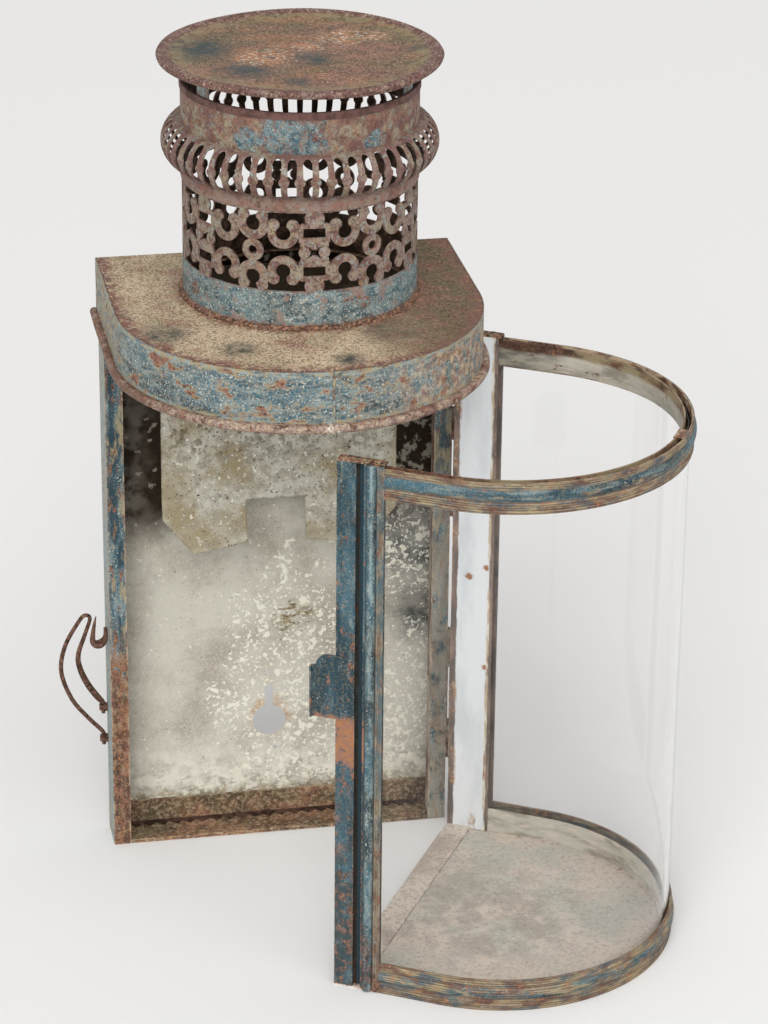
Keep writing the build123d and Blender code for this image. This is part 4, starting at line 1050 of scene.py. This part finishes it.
class LANTERN_OT_door(bpy.types.Operator):
    """Finish the door's stiles, tab, rails, floor and liners"""

    bl_idname = "lantern.door"
    bl_label = "Door"

    def stiles(self, c):
        f = Finish("stile_paint")
        local = f.in_door()
        across = f.axis("X", local)
        height = f.axis("Z")
        rust = rust_colour(f, 0.3)
        drawn = (0.8, 0.8, 3.0)
        f.colour = paint_colour(f, 0.08, 0.02, shift=0.15, stretch=drawn)
        f.lay(c.deep_blue, 9, 0.5, 1.0, 0.45, shift=1.7, stretch=drawn)
        f.lay(rust, 4, 0.09, 0.35, shift=2.2, stretch=(1, 1, 1.6))
        low = f.both(f.fading(height, *STILE_RUST, 20, 14), f.patch(7, 0.75, 0.9, 0.8, shift=0.6))
        f.cover(f.dab(rust, f.blend(0.5, c.deep_blue, c.smudge_and_shade), 4, 0.6, 0.8), low)
        worn = f.both(f.between(f.wobble(height, 6, 2.5), *BARE_PATCH, 2), f.past(across, *LATCH_WEB))
        fresh = f.dab(c.orange, c.russet, 3, 0.5, 0.9, shift=1.1)
        f.cover(fresh, worn, f.patch(5, 0.88, 0.5, shift=3.0))
        aside = f.calc("ABSOLUTE", across)
        depth = f.axis("Y", local)
        # Painted shadow in the stile's groove: near-black by its back wall, deep blue on its floor
        groove_shadow = f.both(f.between(depth, *STILE_GROOVE, 0.2), f.past(aside, *GROOVE_FLOOR))
        groove_shadow = f.both(groove_shadow, f.past(aside, *GROOVE_MOUTH))
        shade = f.blend(f.past(depth, *GROOVE_SHADE), c.deep_blue, c.soot_and_shade)
        chalk = f.dab(c.white, c.pale_blue, 24, 0.3, 1.3, 0.25, stretch=drawn)
        chalk = f.dab(chalk, c.tan, 2, 0.006, 0.4, shift=0.8)
        for place, reach in WHITE_SPOTS:
            chalk = f.blend(f.spot(place, reach, coords=local), chalk, c.orange)
        hinge_side = f.past(across, *HINGE_SIDE)
        inside = f.both(hinge_side, f.past(across, *HINGE_FACE))
        # The outer web's inner face in mauve-grey: its own colour and painted shade
        fold = f.dab(c.mauve, c.smudge_and_shade, 9, 0.5, 1.3, 0.7, stretch=drawn)
        f.cover(fold, hinge_side, f.past(across, *HINGE_FOLD))
        depth = f.wobble(depth, 7, 0.4)
        f.cover(chalk, inside, f.between(depth, *WHITE_FACE, 0.4))
        stained = f.either(f.past(depth, *WHITE_BACK), f.past(height, *WHITE_FOOT))
        stained = f.both(inside, stained, f.patch(6, 0.16, 0.7, 0.8, stretch=drawn, shift=0.5))
        gilded = f.both(inside, f.between(depth, *GILDED_EDGE, 0.3))
        gilded = f.both(gilded, f.patch(7, 0.7, 0.9, 0.9, stretch=drawn))
        yellowed = f.dab(c.tan, c.cream, 3, 0.3, 0.9, stretch=drawn)
        f.cover(f.dab(yellowed, c.orange, 4, 0.1, 0.7, stretch=drawn), gilded)
        f.cover(f.dab(c.orange, c.tan, 2, 0.4, 0.8), stained)
        f.wear(f.dab(rust, c.tan, 2, 0.3, 0.8), 0.6, 0.4)
        # Lay the painted shadow in the groove
        f.cover(shade, groove_shadow, 0.9)
        dress(f.surface(0.4, 0.7), "latch_stile", "hinge_stile", "pull_tab")

    def beads(self, c):
        f = Finish("bead_paint")
        depth = f.axis("Y", f.in_door())
        height = f.axis("Z")
        drawn = (0.8, 0.8, 2.0)
        f.colour = paint_colour(f, 0.35, 0.06, shift=0.7, stretch=drawn)
        # Painted shade: the bead's back side in deeper blue
        f.cover(c.deep_blue, f.past(depth, *BEAD_SHADED_SIDE), 0.6)
        # Pale streaks along the bead's crown high up: chalky paint and a painted highlight
        crown = f.both(f.between(depth, *BEAD_CROWN, 0.5), f.past(height, *BEAD_CHALK_AND_HIGHLIGHT))
        f.cover(c.pale_blue, crown, f.patch(6, 0.4, 1.0, 0.8, stretch=drawn, shift=0.5))
        worn = f.dab(c.ash, rust_colour(f, 1.2), 4, 0.4, 0.9, stretch=drawn, shift=2.6)
        blues = f.patch(6, 0.5, 0.9, 0.85, stretch=drawn, shift=3.6)
        blues = f.both(blues, f.past(height, *BEAD_BLUE))
        worn = f.blend(blues, worn, c.blue)
        f.cover(worn, f.past(depth, *BEAD_FRONT), f.patch(6, 0.85, 0.8, 0.9))
        grooves = f.both(f.past(depth, *BEAD_GROOVES), f.lines(depth, GROOVE_SPACING))
        f.cover(c.olive, grooves, f.patch(5, 0.8, 1.0, 0.7, shift=1.4))
        f.wear(f.dab(c.tan, c.rust, 3, 0.4, 0.8), 0.5, 0.5)
        low = f.patch(5, 0.7, 0.9, 0.85, stretch=drawn, shift=1.8)
        low = f.both(f.fading(height, *BEAD_RUST, 14, 10), low)
        f.cover(f.dab(rust_colour(f, 2.2), c.umber, 3, 0.4, 0.9), low)
        dress(f.surface(0.4, 0.7), "latch_stile_bead", "hinge_stile_bead")

    def stile_caps(self, c):
        f = Finish("stile_cap_rust")
        f.colour = f.dab(rust_colour(f, 0.6), c.umber, 3, 0.4, 0.8)
        f.lay(c.ochre, 1.5, 0.2, 0.5, shift=0.9)
        dress(f.surface(0.6, 0.85), "latch_stile_cap", "hinge_stile_cap")

    def rails(self, c):
        f = Finish("rail_paint")
        height = f.axis("Z")
        drawn = (2.2, 2.2, 0.7)
        strip = f.dab(c.ochre, c.rust, 5, 0.45, 1.2, stretch=drawn)
        strip = f.dab(strip, c.ash, 4, 0.3, 0.9, 0.7, stretch=drawn, shift=0.4)
        strip = f.dab(strip, c.blue, 6, 0.25, 0.9, 0.7, stretch=drawn, shift=1.4)
        grooves = f.lines(f.wobble(height, 9, 0.1), GROOVE_SPACING)
        grooves = f.both(grooves, f.patch(6, 0.8, 1.2, 0.6, stretch=drawn, shift=0.8))
        strip = f.blend(grooves, strip, c.umber)
        strip = f.dab(strip, c.orange, 4, 0.06, 0.5, 0.8, shift=1.1)
        paint = paint_colour(f, 0.2, 0.01, shift=0.9, stretch=(5, 5, 0.7))
        top = f.both(f.between(height, *TOP_BEAD, 0.7), f.patch(7, 0.9, 0.5, stretch=(4, 4, 1)))
        low = f.patch(7, 0.36, 0.6, stretch=(4, 4, 1), shift=0.7)
        low = f.both(f.between(height, *BOTTOM_BEAD, 0.9), low)
        f.colour = f.blend(f.either(top, low), strip, paint)
        f.lay(c.cream, 0.9, 0.015, 0.6, shift=2.2)
        f.wear(rust_colour(f, 0.8), 0.9, 0.7)
        golden = f.dab(rust_colour(f, 1.6), c.tan, 5, 0.4, 0.9, stretch=drawn, shift=1.9)
        within = f.past(f.bow_radius(f.in_door()), *RAIL_INSIDE)
        f.cover(golden, within, f.past(height, *UPPER_PIECES))
        dress(f.surface(0.45, 0.75), "top_rail", "bottom_rail", "glass_clip")

    def floor(self, c):
        f = Finish("floor_dust")
        radius = f.bow_radius(f.in_door())
        f.colour = f.dab(c.taupe, c.bare, 38, 0.5, 1.3)
        cloud = f.both(f.fading(radius, *FLOOR_CLOUD, 30, 12), f.patch(12, 0.6, 1.4, 0.5, shift=0.4))
        f.cover(f.blend(0.5, c.mauve, c.pewter), cloud)
        f.lay(c.mauve, 2, 0.2, 0.9, 0.35, shift=0.9)
        f.lay(c.cream, 1.3, 0.03, 0.4, shift=1.6)
        f.lay(c.olive, 1.0, 0.08, 0.7, 0.3, shift=2.1)
        f.cover(c.orange, f.fading(radius, *FLOOR_RIM, 7, 2), f.patch(5, 0.35, 0.6))
        below = f.step(f.axis("Z", f.normal), -0.2, -0.7)
        f.cover(patina_colour(f, c.pewter, c.rust, 0.4), below)
        dress(f.surface(0.5, 0.75, 0.1), "door_floor")
        f = Finish("sill_dust")
        f.colour = f.dab(c.taupe, c.mauve, 14, 0.3, 1.3, 0.5, stretch=(2, 2, 1))
        f.lay(c.pewter, 2, 0.25, 0.8, 0.6, shift=0.5)
        f.wear(c.umber, 0.6, 0.6)
        dress(f.surface(0.5, 0.75, 0.1), "door_sill")

    def liners(self, c):
        f = Finish("liner_tin")
        height = f.axis("Z")
        drawn = (2, 2, 0.6)
        f.colour = f.dab(c.bare, c.pewter, 16, 0.3, 1.2, stretch=drawn)
        f.lay(c.taupe, 3, 0.22, 0.7, 0.8, stretch=(3, 3, 0.6), shift=0.6)
        upper = f.past(height, *UPPER_PIECES)
        # Painted shade on the upper liner, half over all of it and full at its back
        liner_shade = f.dab(c.pewter, c.smudge_and_shade, 12, 0.5, 1.2, 0.7, stretch=drawn, shift=2.2)
        back = f.fading(f.axis("Y", f.in_door()), *LINER_SHADED_BACK, 20, 8)
        f.cover(liner_shade, upper, f.either(0.5, back))
        rusty = f.both(upper, f.patch(3, 0.05, 0.5, stretch=(2, 2, 1), shift=1.4))
        rusty = f.either(rusty, f.fading(height, *LINER_EDGE, 24, 1.6))
        rust = f.dab(rust_colour(f, 0.5), c.umber, 9, 0.5, 1.3, 0.8, stretch=drawn, shift=0.8)
        bright = f.both(f.step(back, 0.7, 0.2), f.patch(8, 0.6, 1.3, 0.8, stretch=drawn, shift=2.8))
        rust = f.blend(bright, rust, c.ochre)
        f.cover(rust, rusty)
        dress(f.surface(0.45, 0.7, 0.15), "top_liner", "bottom_liner")

    def execute(self, context):
        for make in (self.stiles, self.beads, self.stile_caps, self.rails, self.floor, self.liners):
            make(colours())
        return {"FINISHED"}


PANE_RADIUS = 85.3
PANE_END = -41.2
PANE_ROWS = 23
PANE_STEPS = (6, 72)
PANE_BENDING = 1.25


class LANTERN_OT_glass(bpy.types.Operator):
    """Make the bent pane of the door"""

    bl_idname = "lantern.glass"
    bl_label = "Bent pane"

    def execute(self, context):
        bm = bmesh.new()
        ends = [bm.verts.new(metres((PANE_RADIUS, PANE_END, c.z))) for c in corners("door_glass")]
        bmesh.ops.subdivide_edges(bm, edges=[bm.edges.new(ends)], cuts=PANE_ROWS)
        sweep_bow(bm, list(bm.edges), (PANE_END - BOW_CENTRE[1]) * MM, *PANE_STEPS)
        for vert in bm.verts:
            vert.co += sizes().pane_wave * unevenness(vert.co, 45)
        bmesh.ops.transform(bm, matrix=DOOR_PLACE, verts=bm.verts)
        bmesh.ops.recalc_face_normals(bm, faces=bm.faces)
        f = Finish("old_glass")
        f.feed(f.shader.inputs["Base Color"], colours().glass)
        f.shader.inputs["Transmission Weight"].default_value = 1.0
        f.shader.inputs["Roughness"].default_value = 0.0
        f.shader.inputs["IOR"].default_value = PANE_BENDING
        piece = settle(bm, "bent_pane", f.material, "door", "glass", "door_glass")
        wall = piece.modifiers.new("thickness", "SOLIDIFY")
        wall.thickness = sizes().pane_thickness
        wall.offset = 0.0
        return {"FINISHED"}


# Places along the hook's middle, with half its thickness there
HOOK_DEPTH = -19.5
HOOK_FLATNESS = 1.4
HOOK_LINE = (
    (-89.2, 124.0, 1.0),
    (-89.2, 120.0, 1.2),
    (-89.9, 117.3, 1.7),
    (-92.0, 115.3, 2.1),
    (-94.5, 115.3, 1.9),
    (-95.8, 117.3, 1.5),
    (-95.6, 121.0, 1.2),
    (-94.8, 126.5, 0.8),
    (-93.9, 130.8, 0.2),
)
# The same along the loop, outwards from the line through its eyes
LOOP_LINE = (
    (0.0, 49.0, 1.05),
    (0.0, 54.6, 1.05),
    (1.6, 57.6, 1.15),
    (8.2, 65.2, 1.15),
    (16.2, 76.5, 1.15),
    (21.2, 92.5, 1.15),
    (18.8, 107.0, 1.15),
    (11.4, 120.4, 1.05),
    (8.2, 123.4, 1.0),
    (5.8, 121.4, 1.0),
    (8.6, 112.5, 1.1),
    (12.2, 101.5, 1.3),
    (11.4, 93.0, 1.5),
    (7.4, 83.5, 1.7),
    (2.8, 76.4, 1.7),
    (0.5, 73.6, 1.35),
    (0.0, 72.3, 1.05),
    (0.0, 67.0, 1.05),
)
ROD_SIDES = 12
ROD_STEPS = 5


class LANTERN_OT_fittings(bpy.types.Operator):
    """Make the hook and the wire loop, and finish the hinges and eyes"""

    bl_idname = "lantern.fittings"
    bl_label = "Fittings"

    def rod(self, line, depth, flatness):
        """Tapered rod bent along a smooth line at one depth."""
        bm = bmesh.new()
        verts = bmesh.ops.create_circle(bm, segments=ROD_SIDES, radius=1.0)["verts"]
        edges = list(bm.edges)
        placed = Matrix.Identity(4)
        points = smooth_line(line, ROD_STEPS)
        for i, (x, z, thick) in enumerate(points):
            along = points[min(i + 1, len(points) - 1)] - points[max(i - 1, 0)]
            lean = Matrix.Rotation(math.atan2(along.x, along.y), 4, "Y")
            section = Matrix.Diagonal((thick * MM, flatness * thick * MM, 1.0, 1.0))
            place = Matrix.Translation(metres((x, depth, z))) @ lean @ section
            if i:
                verts, edges = grow(bm, edges)
            bmesh.ops.transform(bm, matrix=place @ placed.inverted(), verts=verts)
            placed = place
        bmesh.ops.holes_fill(bm, edges=[e for e in bm.edges if e.is_boundary])
        tidy_shell(bm)
        return bm

    def execute(self, context):
        c = colours()
        f = Finish("rusty_iron")
        f.colour = f.dab(c.iron, c.rust, 5, 0.4, 0.9)
        f.lay(c.umber, 2, 0.25, 0.7, shift=0.5)
        f.lay(c.russet, 1.6, 0.16, 0.6, shift=1.1)
        iron = f.surface(0.5, 0.75, 0.2)
        dress(iron, "loop_eyes")
        hook = self.rod(HOOK_LINE, HOOK_DEPTH, HOOK_FLATNESS)
        settle(hook, "bent_hook", iron, "case", "wire_iron", "side_hook")
        (axis, depth), _ = joint("loop_swing")
        loop = self.rod([(axis - out, z, thick) for out, z, thick in LOOP_LINE], depth, 1.0)
        settle(loop, "bent_loop", iron, "loop", "wire_iron", "wire_loop")
        f = Finish("hinge_tin")
        f.colour = f.dab(c.pewter, c.mauve, 8, 0.5, 0.9)
        f.lay(rust_colour(f, 0.9), 4, 0.35, 0.6, shift=0.4)
        f.wear(c.umber, 0.8, 0.6)
        hinges = [name for name in frame["nodes"] if "_hinge_" in name]
        dress(f.surface(0.45, 0.75, 0.2), *hinges)
        return {"FINISHED"}


CAMERA_PLACE = (-0.27779, -1.71202, 0.95229)
CAMERA_TURN = -11.08
CAMERA_DROP = 24.19
CAMERA_ROLL = 0.62
CAMERA_LENS = 131.25
KEY_FROM = (-0.6, -1.6, 1.3)
FILL_FROM = (0.3, -1.0, 1.5)
FILL_SIZE = 1.1
LIGHT_SPREAD = 40.0
FLOOR_SIZE = 12.0


class LANTERN_OT_stage(bpy.types.Operator):
    """Set the floor, lights and camera"""

    bl_idname = "lantern.stage"
    bl_label = "Stage"

    def camera(self):
        turn = math.radians(CAMERA_TURN)
        drop = math.radians(CAMERA_DROP)
        roll = math.radians(CAMERA_ROLL)
        level = math.cos(drop)
        back = Vector((math.sin(turn) * level, -math.cos(turn) * level, math.sin(drop)))
        right = Vector((math.cos(turn), math.sin(turn), 0.0))
        up = back.cross(right)
        sides = (
            math.cos(roll) * right + math.sin(roll) * up,
            -math.sin(roll) * right + math.cos(roll) * up,
            back,
        )
        lens = bpy.data.cameras.new("camera")
        lens.lens = CAMERA_LENS
        lens.sensor_width = 36.0
        camera = bpy.data.objects.new("camera", lens)
        camera.matrix_world = Matrix.Translation(CAMERA_PLACE) @ Matrix(sides).transposed().to_4x4()
        bpy.context.scene.collection.objects.link(camera)
        bpy.context.scene.camera = camera

    def light(self, name, kind, strength, place):
        light = bpy.data.lights.new(name, kind)
        light.energy = strength
        if kind == "SUN":
            light.angle = math.radians(LIGHT_SPREAD)
        else:
            light.size = FILL_SIZE
        lamp = bpy.data.objects.new(name, light)
        lamp.location = place
        lamp.rotation_euler = (-Vector(place)).to_track_quat("-Z", "Y").to_euler()
        bpy.context.scene.collection.objects.link(lamp)

    def floor(self, shade):
        bpy.ops.mesh.primitive_plane_add(size=FLOOR_SIZE)
        floor = bpy.context.object
        floor.name = "floor_cloth"
        cloth = Finish("pale_cloth")
        cloth.feed(cloth.shader.inputs["Base Color"], shade)
        cloth.shader.inputs["Roughness"].default_value = 0.9
        cloth.shader.inputs["Specular IOR Level"].default_value = 0.1
        floor.data.materials.append(cloth.material)

    def sky(self, strength, shade):
        """Even light whose own colour, seen or mirrored, is the floor's."""
        world = bpy.data.worlds.new("studio")
        world.use_nodes = True
        nodes = world.node_tree.nodes
        link = world.node_tree.links.new
        sky = nodes["Background"]
        rays = nodes.new("ShaderNodeLightPath")
        total = rays.outputs["Is Camera Ray"]
        for name in ("Is Glossy Ray", "Is Transmission Ray"):
            seen = nodes.new("ShaderNodeMath")
            seen.operation = "MAXIMUM"
            link(total, seen.inputs[0])
            link(rays.outputs[name], seen.inputs[1])
            total = seen.outputs["Value"]
        mix = nodes.new("ShaderNodeMix")
        mix.data_type = "RGBA"
        link(total, mix.inputs[0])
        mix.inputs[6].default_value = (strength, strength, strength, 1.0)
        mix.inputs[7].default_value = (*shade, 1.0)
        link(mix.outputs[2], sky.inputs["Color"])
        bpy.context.scene.world = world

    def execute(self, context):
        stage = context.scene.lantern_stage
        self.floor(stage.cloth)
        self.light("key", "SUN", stage.key, KEY_FROM)
        self.light("fill", "AREA", stage.fill, FILL_FROM)
        self.sky(stage.sky, stage.cloth)
        context.scene.view_settings.view_transform = "Standard"
        self.camera()
        return {"FINISHED"}


class LANTERN_PT_panel(bpy.types.Panel):
    """Lists the lantern's steps in the sidebar"""

    bl_idname = "LANTERN_PT_panel"
    bl_label = "Lantern"
    bl_space_type = "VIEW_3D"
    bl_region_type = "UI"
    bl_category = "Lantern"

    def draw(self, context):
        for step in STEPS:
            self.layout.operator(step.bl_idname)


STEPS = (
    LANTERN_OT_roof,
    LANTERN_OT_rim,
    LANTERN_OT_chimney,
    LANTERN_OT_cap,
    LANTERN_OT_case,
    LANTERN_OT_reflector,
    LANTERN_OT_door,
    LANTERN_OT_glass,
    LANTERN_OT_fittings,
    LANTERN_OT_stage,
)
CLASSES = (LanternColours, LanternSizes, LanternStage, *STEPS, LANTERN_PT_panel)


def register():
    for cls in CLASSES:
        bpy.utils.register_class(cls)
    bpy.types.Scene.lantern_colours = PointerProperty(type=LanternColours)
    bpy.types.Scene.lantern_sizes = PointerProperty(type=LanternSizes)
    bpy.types.Scene.lantern_stage = PointerProperty(type=LanternStage)


def unregister():
    del bpy.types.Scene.lantern_stage
    del bpy.types.Scene.lantern_sizes
    del bpy.types.Scene.lantern_colours
    for cls in reversed(CLASSES):
        bpy.utils.unregister_class(cls)


def main():
    register()
    bpy.ops.lantern.roof()
    bpy.ops.lantern.rim()
    bpy.ops.lantern.chimney()
    bpy.ops.lantern.cap()
    bpy.ops.lantern.case()
    bpy.ops.lantern.reflector()
    bpy.ops.lantern.door()
    bpy.ops.lantern.glass()
    bpy.ops.lantern.fittings()
    bpy.ops.lantern.stage()


if __name__ == "__main__":
    main()
